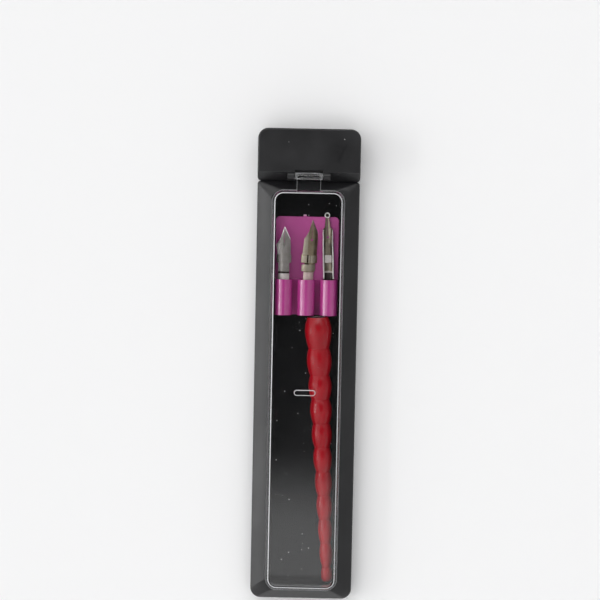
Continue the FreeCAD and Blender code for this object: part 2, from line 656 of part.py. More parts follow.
def nib_crown(kind):
    """The height of a nib's crown in front of its step."""
    return f"({shank_crown(kind)} + nib_step_rise)"


def make_nib(kind, shares, slit_share):
    """A nib formed from sheet: curved shank, raised band, wider body, shoulders, slit and vent hole."""
    name = f"nib_{kind}"
    body = new_body(name)
    reach, curve, half = f"{kind}_reach", f"{kind}_curve", f"({kind}_width / 2)"
    narrow, bend = f"({kind}_shank_width / 2)", f"{kind}_shank_curve"
    low, high = shank_crown(kind), nib_crown(kind)
    front = f"({reach} - nib_clip_end)"
    rows = [
        ("tail", "-nib_depth", bend, low, narrow, narrow),
        ("shank", "nib_step - nib_sheet", bend, low, narrow, narrow),
        ("step", "nib_step", bend, high, narrow, narrow),
        ("band", "nib_band_end", bend, high, narrow, narrow),
        ("wing", "nib_band_end + nib_sheet", curve, high, half, half),
        ("clip", "nib_clip_end", curve, high, half, half),
    ]
    for index, (along, left, right, flat, crown) in enumerate(shares, start=1):
        rows.append((f"front_{index}", f"nib_clip_end + {along} * {front}", f"({flat} * {curve})",
                     f"({crown} * {high})", f"({left} * {half})", f"({right} * {half})"))
    loft(body, f"{name}_sheet", [nib_section(body, f"{name}_{row[0]}", *row[1:]) for row in rows])

    # The slit runs from the point to a round vent.
    vent_y = f"({reach} - {slit_share} * {front})"
    block(body, "Subtractive", f"{name}_slit", ("-slit_width / 2", vent_y, "0"),
          ("slit_width", f"{reach} - {vent_y} + overrun", f"2 * {high}"))
    rod(body, "Subtractive", f"{name}_vent", "z", ("0", vent_y, "0"), "vent_diameter / 2", f"2 * {high}")
    return body


def add_point_bead(body):
    """The turned-up bead at the tip of the pointed nib."""
    bead = body.newObject("PartDesign::AdditiveSphere", "point_bead")
    bead.setExpression("Radius", bound("point_bead / 2"))
    bind_place(bead, "Placement",
               ("0", "pointed_reach", f"{POINTED_SHARES[-1][4]} * {nib_crown('pointed')} - nib_sheet / 2"))


def add_disc_tip(body):
    """The round writing disc of the disc nib, dished on the side that faces the paper."""
    level = f"({DISC_SHARES[-1][4]} * {nib_crown('disc')} - nib_sheet / 2 - disc_thickness / 2)"
    rod(body, "Additive", "writing_disc", "z", ("0", "disc_reach", level),
        "disc_diameter / 2", "disc_thickness")
    dish = body.newObject("PartDesign::SubtractiveSphere", "writing_dish")
    dish.setExpression("Radius", bound("disc_diameter"))
    bind_place(dish, "Placement", ("0", "disc_reach", f"{level} - disc_diameter + disc_dish"))


CLIP_Y = "(nib_clip_end - clip_length - clip_gap)"


def add_tongue(body, kind, strap):
    """The tongue of a reservoir, from its strap up towards the vent. Strap is the strap's far face."""
    low = f"({strap} - clip_sheet)"
    lift = f"({nib_crown(kind)} - nib_sheet - clip_gap)"
    clip_end = f"{CLIP_Y} + clip_length"
    tongue = new_sketch(body, f"{kind}_tongue", "YZ_Plane", ("0", "0", "-tongue_width / 2"))
    polygon(tongue, ((CLIP_Y, low),
                     (clip_end, low),
                     (f"{clip_end} + tongue_length", f"{lift} - 3 * clip_sheet"),
                     (f"{clip_end} + tongue_length", f"{lift} - 2 * clip_sheet"),
                     (clip_end, strap),
                     (CLIP_Y, strap)))
    extrude(body, "Pad", f"{kind}_tongue_strip", tongue, "tongue_width")


def make_clip_reservoir(kind):
    """A slip-on reservoir: an open clip round the nib's body and a tongue under the vent."""
    name = f"reservoir_{kind}"
    body = new_body(name)
    hub = f"({nib_crown(kind)} - {kind}_curve)"
    inner, side = f"({kind}_curve + clip_gap)", f"({kind}_width / 2 + clip_gap)"
    strap = f"(({kind}_curve - nib_sheet) * sqrt(1 - ({kind}_width / 2 / {kind}_curve)^2) - clip_gap)"
    ring = new_sketch(body, f"{name}_ring", "XZ_Plane", ("0", hub, f"-{CLIP_Y}"))
    arched_outline(ring, f"({inner} + clip_sheet)", f"({side} + clip_sheet)", f"({strap} - clip_sheet)")
    arched_outline(ring, inner, side, strap)
    extrude(body, "Pad", f"{name}_clip", ring, "clip_length", turned=True)
    block(body, "Subtractive", f"{name}_slot",
          (f"-{kind}_clip_slot / 2", f"{CLIP_Y} - overrun", f"{nib_crown(kind)} - 3 * nib_sheet"),
          (f"{kind}_clip_slot", "clip_length + 2 * overrun", "overrun"))
    add_tongue(body, kind, f"({hub} + {strap})")
    return body


def make_bridge_reservoir(kind):
    """A reservoir inside the nib's hollow: a strap wedged between its walls and a tongue under the vent."""
    name = f"reservoir_{kind}"
    body = new_body(name)
    hollow = f"({kind}_curve - nib_sheet - clip_gap)"
    strap = f"({nib_crown(kind)} - {kind}_curve + sqrt({hollow}^2 - (bridge_width / 2)^2))"
    block(body, "Additive", f"{name}_strap", ("-bridge_width / 2", CLIP_Y, f"{strap} - clip_sheet"),
          ("bridge_width", "clip_length", "clip_sheet"))
    add_tongue(body, kind, strap)
    return body


# Pen holder.

def pen_placement():
    """Lay the pen on the floor, bulb and tail resting, its tail nearer to the right wall."""
    bulb, tail = amount("bulb_diameter") / 2, amount("tail_diameter") / 2
    wall_x = amount(CAVITY_WIDTH) / 2
    bulb_x = wall_x - amount("bulb_side_gap") - bulb
    tail_x = wall_x - amount("tail_side_gap") - tail
    run = amount(f"{NECK_RUN} + tail_rise")
    yaw = math.degrees(math.asin((tail_x - bulb_x) / run))
    pitch = math.degrees(math.asin((bulb - tail) / run))
    turn = FreeCAD.Rotation(point(0, 0, 1), yaw).multiply(FreeCAD.Rotation(point(1, 0, 0), pitch))
    rest_z = amount(f"{FLOOR_Z} + pen_gap") + bulb
    bulb_y = amount(f"{PEN_HEAD_Y} - head_length")
    start = point(bulb_x, bulb_y, rest_z) + turn.multVec(point(0, amount("head_length")))
    return FreeCAD.Placement(start, turn)


def level_arc(level, end):
    """An arc that leaves its level point along the pen's axis and runs to its end point."""
    across, along = level.x - end.x, level.y - end.y
    radius = (across ** 2 + along ** 2) / (2 * across)
    centre = point(level.x - radius, level.y)
    middle = centre + ((level + end) / 2 - centre).normalize() * abs(radius)
    return Part.Arc(level, middle, end).toShape()


def make_pen_holder():
    """The turned holder: a bulb and a row of beads that shrink towards the tail."""
    neck_depths = [amount(f"head_length + bulb_fall + {index} * bead_pitch") for index in range(BEAD_COUNT - 1)]
    crest_depths = [(here + after) / 2 for here, after in zip(neck_depths, neck_depths[1:])]
    crest_depths = [amount("head_length"), *crest_depths, neck_depths[-1] + amount("tail_rise")]
    taper = (amount("bulb_diameter") - amount("tail_diameter")) / 2 / (crest_depths[-1] - crest_depths[0])

    def turned(depth, share=1.0):
        """A point of the outline, on the holder's taper or at a share of it."""
        return point(share * (amount("bulb_diameter") / 2 - taper * (depth - crest_depths[0])), -depth)

    crests = [turned(depth) for depth in crest_depths]
    necks = [turned(depth, NECK_SHARE) for depth in neck_depths]
    rim = point(amount("head_diameter") / 2, 0)
    tail = point(amount("tail_flat") / 2, -amount(PEN_LENGTH))
    edges = [level_arc(crests[0], rim), level_arc(crests[-1], tail)]
    for neck, here, after in zip(necks, crests, crests[1:]):
        for crest in (here, after):
            middle = (crest + neck) / 2
            edges += [level_arc(crest, middle), level_arc(neck, middle)]
    bore, depth = amount("socket_diameter") / 2, -amount(SOCKET_DEPTH)
    path = (tail, point(0, tail.y), point(0, depth), point(bore, depth), point(bore, 0), rim)
    edges += [Part.makeLine(here, after) for here, after in zip(path, path[1:])]
    face = Part.Face(Part.Wire(Part.__sortEdges__(edges)))
    holder = doc.addObject("Part::Feature", "pen_holder")
    holder.Label = "pen_holder"
    holder.Shape = face.revolve(point(0, 0), point(0, 1), 360)
    holder.Placement = pen_placement()
    return holder


def make_ferrule():
    """The steel sleeve that lines the socket in the holder's head."""
    body = new_body("ferrule")
    outer = "(socket_diameter / 2 - ferrule_fit)"
    rod(body, "Additive", "sleeve", "y", ("0", "-ferrule_length", "0"), outer, "ferrule_length")
    rod(body, "Subtractive", "sleeve_bore", "y", ("0", "-ferrule_length - overrun", "0"),
        f"{outer} - ferrule_wall", "ferrule_length + 2 * overrun")
    body.Placement = pen_placement()
    return body


def make_nib_clamp():
    """The spring inside the ferrule: a base disc with four leaves that press a nib outwards."""
    body = new_body("nib_clamp")
    sleeve_bore = "(socket_diameter / 2 - ferrule_fit - ferrule_wall)"
    rod(body, "Additive", "leaves", "y", ("0", "-ferrule_length", "0"), "clamp_diameter / 2",
        "ferrule_length - clamp_base")
    rod(body, "Subtractive", "leaf_bore", "y", ("0", "-ferrule_length + clamp_base", "0"),
        "clamp_diameter / 2 - clamp_wall", "ferrule_length")
    slot = block(body, "Subtractive", "leaf_slot",
                 ("-clamp_slot / 2", "-ferrule_length + 2 * clamp_base", "0"),
                 ("clamp_slot", "ferrule_length", "clamp_diameter"))
    slots = body.newObject("PartDesign::PolarPattern", "leaf_slots")
    slots.Originals = [slot]
    slots.Axis = (next(item for item in body.Origin.OriginFeatures if item.Role == "Y_Axis"), [""])
    slots.Angle = 360
    slots.Occurrences = CLAMP_LEAVES
    body.Tip = slots
    rod(body, "Additive", "clamp_disc", "y", ("0", "-ferrule_length", "0"),
        f"{sleeve_bore} - ferrule_fit", "clamp_base")
    body.Placement = pen_placement()
    return body


def make_nibs():
    """Three nibs in their tubes, each with its reservoir."""
    oblique = make_nib("oblique", OBLIQUE_SHARES, OBLIQUE_SLIT_SHARE)
    pointed = make_nib("pointed", POINTED_SHARES, POINTED_SLIT_SHARE)
    add_point_bead(pointed)
    disc = make_nib("disc", DISC_SHARES, DISC_SLIT_SHARE)
    add_disc_tip(disc)
    pieces = []
    for place, nib, reservoir, roll, yaw in (
            (-1, oblique, make_clip_reservoir("oblique"), 0.0, 0.0),
            (0, pointed, make_clip_reservoir("pointed"), POINTED_ROLL, POINTED_YAW),
            (1, disc, make_bridge_reservoir("disc"), DISC_ROLL, DISC_YAW)):
        for piece in (nib, reservoir):
            place_in_tube(piece, place, roll, yaw)
            pieces.append(piece)
    return pieces


parts = [make_tray(), make_end_cap(), make_lid(), make_nib_rack(), *make_nibs(),
         make_pen_holder(), make_ferrule(), make_nib_clamp()]
doc.recompute()

broken = [item.Name for item in doc.Objects if {"Invalid", "Error"} & set(item.State)]
for part in parts:
    if part.Shape.isNull() or not part.Shape.isValid() or len(part.Shape.Solids) != 1:
        broken.append(part.Label)
if broken:
    raise SystemExit(f"these did not build: {broken}")

os.makedirs("parts", exist_ok=True)
for part in parts:
    part.Shape.exportStep(f"parts/{part.Label}.step")
    box = part.Shape.optimalBoundingBox()
    print(f"{part.Label}: volume {part.Shape.Volume:.1f}, x {box.XMin:.2f} {box.XMax:.2f}, "
          f"y {box.YMin:.2f} {box.YMax:.2f}, z {box.ZMin:.2f} {box.ZMax:.2f}")
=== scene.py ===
"""The looks of a calligraphy set box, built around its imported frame.

A black moulded tray with an end cap holds a purple nib rack with three nibs and a red beaded
pen holder under a clear raised lid. Sizes are in metres. Places on the nibs, and the ends of bands
across the pieces, are in millimetres. The axes are the frame's own: X is the width, Y the length with
the end cap at +Y, and Z is up from the underside.
"""

import logging
import math
from dataclasses import dataclass
from enum import Enum, IntEnum

import bmesh
import bpy
from mathutils import Euler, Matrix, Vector
from mathutils.bvhtree import BVHTree

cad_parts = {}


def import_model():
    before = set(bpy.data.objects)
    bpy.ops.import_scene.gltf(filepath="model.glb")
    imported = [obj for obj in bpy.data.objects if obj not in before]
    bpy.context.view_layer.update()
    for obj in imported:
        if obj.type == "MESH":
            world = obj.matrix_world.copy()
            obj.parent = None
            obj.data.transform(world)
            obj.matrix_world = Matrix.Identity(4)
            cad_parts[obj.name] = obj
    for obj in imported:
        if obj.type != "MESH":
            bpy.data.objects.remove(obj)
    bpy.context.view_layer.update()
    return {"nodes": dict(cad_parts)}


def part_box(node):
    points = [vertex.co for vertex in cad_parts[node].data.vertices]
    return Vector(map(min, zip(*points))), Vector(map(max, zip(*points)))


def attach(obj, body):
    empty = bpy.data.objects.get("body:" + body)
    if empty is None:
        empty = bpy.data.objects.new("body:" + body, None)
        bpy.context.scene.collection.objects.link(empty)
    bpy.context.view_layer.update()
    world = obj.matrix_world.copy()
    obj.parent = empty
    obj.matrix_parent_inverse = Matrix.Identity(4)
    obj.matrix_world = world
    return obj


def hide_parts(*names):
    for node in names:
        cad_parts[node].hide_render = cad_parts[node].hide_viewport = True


LOG = logging.getLogger("calligraphy_set_box")
MM = 0.001

# Corners nearer than this become one, on a finished mesh and on a cut.
MERGE = 0.002 * MM
CUT_MERGE = 1e-7

# Lengths nearer than this count as equal.
SAME = 1e-9

# A length past every end of the object.
FAR = 1.0

# Bends in degrees: those that stay sharp in the shading, and those that are eased, in so many steps.
SMOOTH_BEND = 46.0
EASED_BEND = 32.0
EASED_STEPS = 2

# The values of a noise between which a mottle goes from none to full.
MOTTLE = (0.3, 0.7)

Colour = tuple[float, float, float, float]
Triple = tuple[float, float, float]
Side = tuple[tuple[float, float], tuple[float, float]]
Rectangle = tuple[float, float, float, float]
GlowSide = tuple[str, float, float]


class Body(Enum):
    """The frame's moving bodies."""

    BASE = "base"
    LID = "lid"
    OBLIQUE = "oblique_nib"
    POINTED = "pointed_nib"
    DISC = "disc_nib"
    PEN = "pen"


class Slot(Enum):
    """The record's material slots."""

    BLACK = "black_plastic"
    CLEAR = "clear_plastic"
    PURPLE = "purple_plastic"
    RED = "red_plastic"
    STEEL = "nib_steel"
    NICKEL = "nib_nickel"
    HOLDER = "holder_steel"


class LidFitting(Enum):
    """The solids that join the lid's shell."""

    TAB = "tab"
    BAR = "bar"
    TRUNNIONS = "trunnions"
    CATCH = "catch"


class LidSkin(IntEnum):
    """The lid's finishes, by their place in its list of materials."""

    CLEAR = 0
    # The whitish skin of the painted highlight on the rounded edges.
    SCUFFED = 1
    # The frosted skin with a painted sheen at the foot, the bar and the tab.
    DULLED = 2


class Tree:
    """A node tree under construction, with short calls for nodes, links and sums."""

    def __init__(self, tree: bpy.types.NodeTree) -> None:
        """Take the shader or geometry node tree to work on."""
        self.tree = tree

    def find(self, kind: str) -> bpy.types.Node:
        """The tree's own node of a kind."""
        return next(node for node in self.tree.nodes if node.type == kind)

    def add(self, kind: str, feeds: dict | None = None, **settings: object) -> bpy.types.Node:
        """Add a node, set its properties and feed its inputs.

        Args:
            kind: the node's full type name.
            feeds: output sockets or plain values, by the input's name or number.
            settings: property values by name.

        Returns:
            The new node.
        """
        node = self.tree.nodes.new(kind)
        for name, value in settings.items():
            setattr(node, name, value)
        for key, value in (feeds or {}).items():
            self.feed(node.inputs[key], value)
        return node

    def feed(self, socket: bpy.types.NodeSocket, value: object) -> None:
        """Link an output to an input, or set the input's own value.

        Args:
            socket: the input.
            value: an output socket, or a plain value.
        """
        if isinstance(value, bpy.types.NodeSocket):
            self.tree.links.new(value, socket)
        else:
            socket.default_value = value

    def math(self, operation: str, *values: object, clamp: bool = False) -> bpy.types.NodeSocket:
        """Add a Math node.

        Args:
            operation: the node's operation.
            values: sockets or numbers for its inputs.
            clamp: whether the result is kept between 0 and 1.

        Returns:
            The node's output.
        """
        feeds = dict(enumerate(values))
        return self.add("ShaderNodeMath", feeds, operation=operation, use_clamp=clamp).outputs[0]

    def blend(self, factor: object, low: object, high: object) -> bpy.types.NodeSocket:
        """Mix two colours by a factor that changes over the surface.

        Args:
            factor: the socket that drives the mix.
            low: the colour, or colour socket, at 0.
            high: the colour, or colour socket, at 1.

        Returns:
            The mixed colour.
        """
        return self.add("ShaderNodeMix", {"Factor": factor, 6: low, 7: high}, data_type="RGBA").outputs[2]

    def remap(self, value: object, low: float, high: float, to_low: float, to_high: float,
              smooth: bool = False) -> bpy.types.NodeSocket:
        """Map a range of values to another, clamped.

        Args:
            value: the socket to map.
            low: the value that goes to to_low.
            high: the value that goes to to_high.
            to_low: the first result.
            to_high: the last result.
            smooth: whether the way between them eases in and out.

        Returns:
            The mapped value.
        """
        kind = "SMOOTHSTEP" if smooth else "LINEAR"
        feeds = dict(enumerate((value, low, high, to_low, to_high)))
        return self.add("ShaderNodeMapRange", feeds, interpolation_type=kind).outputs[0]


def new_group(name: str, inputs: dict[str, float | None], outputs: tuple[str, ...]) -> tuple:
    """Start a shader node group.

    Args:
        name: the group's name.
        inputs: start values by input name, None for a vector.
        outputs: the names of its value outputs.

    Returns:
        The tree, the group's input node and its output node.
    """
    tree = bpy.data.node_groups.new(name, "ShaderNodeTree")
    for key, value in inputs.items():
        kind = "NodeSocketVector" if value is None else "NodeSocketFloat"
        socket = tree.interface.new_socket(key, in_out="INPUT", socket_type=kind)
        if value is not None:
            socket.default_value = value
    for key in outputs:
        tree.interface.new_socket(key, in_out="OUTPUT", socket_type="NodeSocketFloat")
    work = Tree(tree)
    return work, work.add("NodeGroupInput"), work.add("NodeGroupOutput")


class SurfaceEffects:
    """The shader node groups that several finishes share."""

    GRAIN = "mould_grain"
    DUST = "dust_specks"
    STREAKS = "drawn_streaks"
    SCRATCHES = "fine_scratches"
    SMALLEST_SPECK = 0.35
    LEVEL_FACE = 0.9
    HAIRLINE_TURNS = (24.0, -51.0)
    HAIRLINE_FADE = (0.004, 0.012)
    BREAK_SCALE = 90.0
    BREAK_FADE = (0.52, 0.62)

    def build(self) -> None:
        """Make every group once."""
        self.grain()
        self.dust()
        self.streaks()
        self.scratches()

    @staticmethod
    def drawn_out(work: Tree, place: bpy.types.NodeSocket, across: bpy.types.NodeSocket,
                  along: bpy.types.NodeSocket, detail: float) -> bpy.types.NodeSocket:
        """Noise that is drawn out along Y.

        Args:
            work: the group's tree.
            place: the coordinates.
            across: the noise's scale along X and Z.
            along: its scale along Y.
            detail: how fine it gets.

        Returns:
            The noise.
        """
        stretch = work.add("ShaderNodeCombineXYZ", {"X": across, "Y": along, "Z": across})
        scaled = work.add("ShaderNodeVectorMath", {0: place, 1: stretch.outputs[0]}, operation="MULTIPLY")
        feeds = {"Vector": scaled.outputs[0], "Scale": 1.0, "Detail": detail}
        return work.add("ShaderNodeTexNoise", feeds).outputs[0]

    def grain(self) -> None:
        """Fine grain of a moulded face, and a broad mottle."""
        inputs = {"Position": None, "Fine": 2500.0, "Broad": 60.0}
        work, given, out = new_group(self.GRAIN, inputs, ("Height", "Mottle"))
        for key, scale, detail in (("Height", "Fine", 2.0), ("Mottle", "Broad", 3.0)):
            feeds = {"Vector": given.outputs["Position"], "Scale": given.outputs[scale], "Detail": detail}
            work.feed(out.inputs[key], work.add("ShaderNodeTexNoise", feeds).outputs[0])

    def dust(self) -> None:
        """Sparse pale specks of dust and lint, which settle on level faces."""
        inputs = {"Position": None, "Facing": None, "Cells": 330.0, "Share": 0.1, "Size": 0.06}
        work, given, out = new_group(self.DUST, inputs, ("Mask",))
        feeds = {"Vector": given.outputs["Position"], "Scale": given.outputs["Cells"]}
        cells = work.add("ShaderNodeTexVoronoi", feeds, voronoi_dimensions="2D")
        draws = work.add("ShaderNodeSeparateColor", {0: cells.outputs["Color"]})
        chosen = work.math("LESS_THAN", draws.outputs[0], given.outputs["Share"])
        shrink = work.remap(draws.outputs[1], 0.0, 1.0, self.SMALLEST_SPECK, 1.0)
        reach = work.math("MULTIPLY", given.outputs["Size"], shrink)
        specks = work.math("MULTIPLY", chosen, work.math("LESS_THAN", cells.outputs["Distance"], reach))
        axes = work.add("ShaderNodeSeparateXYZ", {0: given.outputs["Facing"]})
        level = work.math("GREATER_THAN", axes.outputs["Z"], self.LEVEL_FACE)
        work.feed(out.inputs["Mask"], work.math("MULTIPLY", specks, level))

    def streaks(self) -> None:
        """Lengthwise streaks, as on drawn or brushed metal."""
        inputs = {"Position": None, "Across": 4000.0, "Along": 90.0}
        work, given, out = new_group(self.STREAKS, inputs, ("Streak",))
        place, across, along = (given.outputs[key] for key in inputs)
        work.feed(out.inputs["Streak"], self.drawn_out(work, place, across, along, 3.0))

    def scratches(self) -> None:
        """Thin broken hairlines in two crossing directions."""
        inputs = {"Position": None, "Fine": 320.0, "Long": 22.0}
        work, given, out = new_group(self.SCRATCHES, inputs, ("Mask",))
        place, across, along = (given.outputs[key] for key in inputs)
        hairlines = []
        for turn in self.HAIRLINE_TURNS:
            feeds = {"Vector": place, "Rotation": (0.0, 0.0, math.radians(turn))}
            turned = work.add("ShaderNodeMapping", feeds).outputs[0]
            noise = self.drawn_out(work, turned, across, along, 1.0)
            away = work.math("ABSOLUTE", work.math("SUBTRACT", noise, 0.5))
            hairlines.append(work.remap(away, *self.HAIRLINE_FADE, 1.0, 0.0))
        breaks = work.add("ShaderNodeTexNoise", {"Vector": place, "Scale": self.BREAK_SCALE})
        unbroken = work.remap(breaks.outputs[0], *self.BREAK_FADE, 0.0, 1.0)
        both = work.math("MAXIMUM", *hairlines)
        work.feed(out.inputs["Mask"], work.math("MULTIPLY", both, unbroken))


@dataclass(frozen=True)
class Canvas:
    """A material under construction, with its shader and the coordinates of its surface."""

    work: Tree
    shader: bpy.types.Node
    place: bpy.types.NodeSocket
    facing: bpy.types.NodeSocket

    def set(self, **values: object) -> None:
        """Feed the shader's inputs, by their names with _ for a space."""
        for name, value in values.items():
            self.work.feed(self.shader.inputs[name.replace("_", " ")], value)

    def effect(self, name: str, *outputs: str, **values: object) -> list[bpy.types.NodeSocket]:
        """Place a shared group on the surface.

        Args:
            name: the group's name.
            outputs: the names of the outputs that are wanted.
            values: its inputs by name, apart from the position.

        Returns:
            Those outputs.
        """
        group = bpy.data.node_groups[name]
        node = self.work.add("ShaderNodeGroup", {"Position": self.place, **values}, node_tree=group)
        return [node.outputs[key] for key in outputs]

    def bump(self, height: bpy.types.NodeSocket, depth: float, strength: float = 1.0) -> None:
        """Feed a height to the shader's normal.

        Args:
            height: the height, from 0 to 1.
            depth: the height's full depth.
            strength: how much of the bump shows.
        """
        feeds = {"Distance": depth, "Strength": strength, "Height": height}
        self.set(Normal=self.work.add("ShaderNodeBump", feeds).outputs[0])


@dataclass(frozen=True)
class Finish:
    """A surface finish that becomes one material."""

    name: str
    slot: Slot
    colour: Colour
    roughness: float

    def material(self) -> bpy.types.Material:
        """The finish's material, made at its first use."""
        found = bpy.data.materials.get(self.name)
        return found if found else self.make()

    def make(self) -> bpy.types.Material:
        """Build the material's nodes.

        Returns:
            The new material.
        """
        material = bpy.data.materials.new(self.name)
        material.use_nodes = True
        work = Tree(material.node_tree)
        where = work.add("ShaderNodeTexCoord").outputs
        canvas = Canvas(work, work.find("BSDF_PRINCIPLED"), where["Object"], where["Normal"])
        canvas.set(Base_Color=self.colour, Roughness=self.roughness)
        self.dress(canvas)
        return material

    def dress(self, canvas: Canvas) -> None:
        """Add what sets this finish apart, as each kind of finish does in its own way."""
        raise NotImplementedError

    def uneven(self, canvas: Canvas, pattern: bpy.types.NodeSocket, ends: tuple[float, float],
               spread: float) -> bpy.types.NodeSocket:
        """A roughness that follows a pattern.

        Args:
            canvas: the material under construction.
            pattern: the pattern.
            ends: the pattern's values at the least and the most roughness.
            spread: how far the roughness goes to either side of the finish's own.

        Returns:
            The roughness.
        """
        return canvas.work.remap(pattern, *ends, self.roughness - spread, self.roughness + spread)


@dataclass(frozen=True)
class MouldedPlastic(Finish):
    """Opaque moulded plastic with grain, mottle, hairlines and a little dust."""

    pale: Colour
    dust_colour: Colour
    dust_share: float
    dust_size: float
    grain_depth: float
    rough_spread: float
    fine: float
    broad: float
    index: float = 1.5

    def dress(self, canvas: Canvas) -> None:
        """Mottle the colour and roughness, and add grain, hairlines and dust.

        Args:
            canvas: the material under construction.
        """
        work = canvas.work
        height, mottle = canvas.effect(SurfaceEffects.GRAIN, "Height", "Mottle", Fine=self.fine,
                                       Broad=self.broad)
        (specks,) = canvas.effect(SurfaceEffects.DUST, "Mask", Facing=canvas.facing, Share=self.dust_share,
                                  Size=self.dust_size)
        (hairlines,) = canvas.effect(SurfaceEffects.SCRATCHES, "Mask")
        plain = work.blend(work.remap(mottle, *MOTTLE, 0.0, 1.0), self.colour, self.pale)
        rough = self.uneven(canvas, mottle, MOTTLE, self.rough_spread)
        worn = work.math("MULTIPLY_ADD", hairlines, -self.rough_spread, rough)
        canvas.set(IOR=self.index, Base_Color=work.blend(specks, plain, self.dust_colour),
                   Roughness=work.math("MAXIMUM", worn, specks))
        canvas.bump(height, self.grain_depth)


@dataclass(frozen=True)
class ClearPlastic(Finish):
    """Clear moulded plastic that lets lamp light through."""

    index: float
    transmission: float
    hairline_across: float = 420.0
    hairline_along: float = 14.0
    hairline_rough: float = 0.12
    wave_scale: float = 35.0
    wave_depth: float = 0.01 * MM
    wave_strength: float = 0.5

    def dress(self, canvas: Canvas) -> None:
        """Make the shader clear, with hairlines, and let lamp and scattered rays pass.

        Args:
            canvas: the material under construction.
        """
        work = canvas.work
        (hairlines,) = canvas.effect(SurfaceEffects.SCRATCHES, "Mask", Fine=self.hairline_across,
                                     Long=self.hairline_along)
        canvas.set(IOR=self.index, Transmission_Weight=self.transmission,
                   Roughness=work.math("MULTIPLY_ADD", hairlines, self.hairline_rough, self.roughness))
        (waves,) = canvas.effect(SurfaceEffects.GRAIN, "Height", Fine=self.wave_scale)
        canvas.bump(waves, self.wave_depth, self.wave_strength)
        path = work.add("ShaderNodeLightPath")
        surface = canvas.shader.outputs[0]
        for ray in ("Is Diffuse Ray", "Is Shadow Ray"):
            through = work.add("ShaderNodeBsdfTransparent").outputs[0]
            feeds = {0: path.outputs[ray], 1: surface, 2: through}
            surface = work.add("ShaderNodeMixShader", feeds).outputs[0]
        work.feed(work.find("OUTPUT_MATERIAL").inputs["Surface"], surface)


@dataclass(frozen=True)
class StampedMetal(Finish):
    """Stamped sheet metal with streaks along the piece and dull patches."""

    dull: Colour
    rough_spread: float
    patch_scale: float = 420.0
    patch_fade: tuple[float, float] = (0.4, 0.75)
    streak_ends: tuple[float, float] = (0.25, 0.75)
    streak_depth: float = 0.012 * MM

    def dress(self, canvas: Canvas) -> None:
        """Streak the colour, the roughness and the surface.

        Args:
            canvas: the material under construction.
        """
        (streaks,) = canvas.effect(SurfaceEffects.STREAKS, "Streak")
        (patches,) = canvas.effect(SurfaceEffects.GRAIN, "Mottle", Broad=self.patch_scale)
        tarnish = canvas.work.remap(patches, *self.patch_fade, 0.0, 1.0)
        canvas.set(Metallic=1.0, Base_Color=canvas.work.blend(tarnish, self.colour, self.dull),
                   Roughness=self.uneven(canvas, streaks, self.streak_ends, self.rough_spread))
        canvas.bump(streaks, self.streak_depth)


@dataclass(frozen=True)
class Lacquer(Finish):
    """Glossy lacquer with faint waviness and a darker blush."""

    deep: Colour
    coat: float
    specular: float
    coat_rough: float = 0.03
    rough_spread: float = 0.05
    dust_colour: Colour = (0.5, 0.3, 0.3, 1.0)
    dust_share: float = 0.03
    wave_scale: float = 900.0
    wave_depth: float = 0.006 * MM
    blush_scale: float = 110.0

    def dress(self, canvas: Canvas) -> None:
        """Vary the colour and waviness under a clear coat.

        Args:
            canvas: the material under construction.
        """
        work = canvas.work
        waves, blush = canvas.effect(SurfaceEffects.GRAIN, "Height", "Mottle", Fine=self.wave_scale,
                                     Broad=self.blush_scale)
        (specks,) = canvas.effect(SurfaceEffects.DUST, "Mask", Facing=canvas.facing, Share=self.dust_share)
        plain = work.blend(work.remap(blush, *MOTTLE, 0.0, 1.0), self.colour, self.deep)
        canvas.set(Coat_Weight=self.coat, Coat_Roughness=self.coat_rough, Specular_IOR_Level=self.specular,
                   Base_Color=work.blend(specks, plain, self.dust_colour),
                   Roughness=self.uneven(canvas, blush, MOTTLE, self.rough_spread))
        canvas.bump(waves, self.wave_depth)


BLACK = MouldedPlastic(
    name="moulded_black", slot=Slot.BLACK, colour=(0.0075, 0.0075, 0.0085, 1.0), roughness=0.38,
    pale=(0.012, 0.012, 0.0135, 1.0), dust_colour=(0.5, 0.5, 0.5, 1.0), dust_share=0.02, dust_size=0.06,
    grain_depth=0.012 * MM, rough_spread=0.05, fine=2600.0, broad=70.0)
# Polished black, painted darker than the moulding's own black: painted shade in the cavity.
POLISHED_SHADED = MouldedPlastic(
    name="polished_black", slot=Slot.BLACK, colour=(0.0035, 0.0035, 0.0042, 1.0), roughness=0.16,
    pale=(0.005, 0.005, 0.006, 1.0), dust_colour=(0.75, 0.75, 0.75, 1.0), dust_share=0.12, dust_size=0.066,
    grain_depth=0.001 * MM, rough_spread=0.03, fine=2600.0, broad=70.0)
PURPLE = MouldedPlastic(
    name="moulded_purple", slot=Slot.PURPLE, colour=(0.41, 0.034, 0.222, 1.0), roughness=0.15,
    pale=(0.45, 0.044, 0.255, 1.0), dust_colour=(0.6, 0.4, 0.55, 1.0), dust_share=0.02, dust_size=0.06,
    grain_depth=0.004 * MM, rough_spread=0.04, fine=1900.0, broad=130.0, index=2.0)
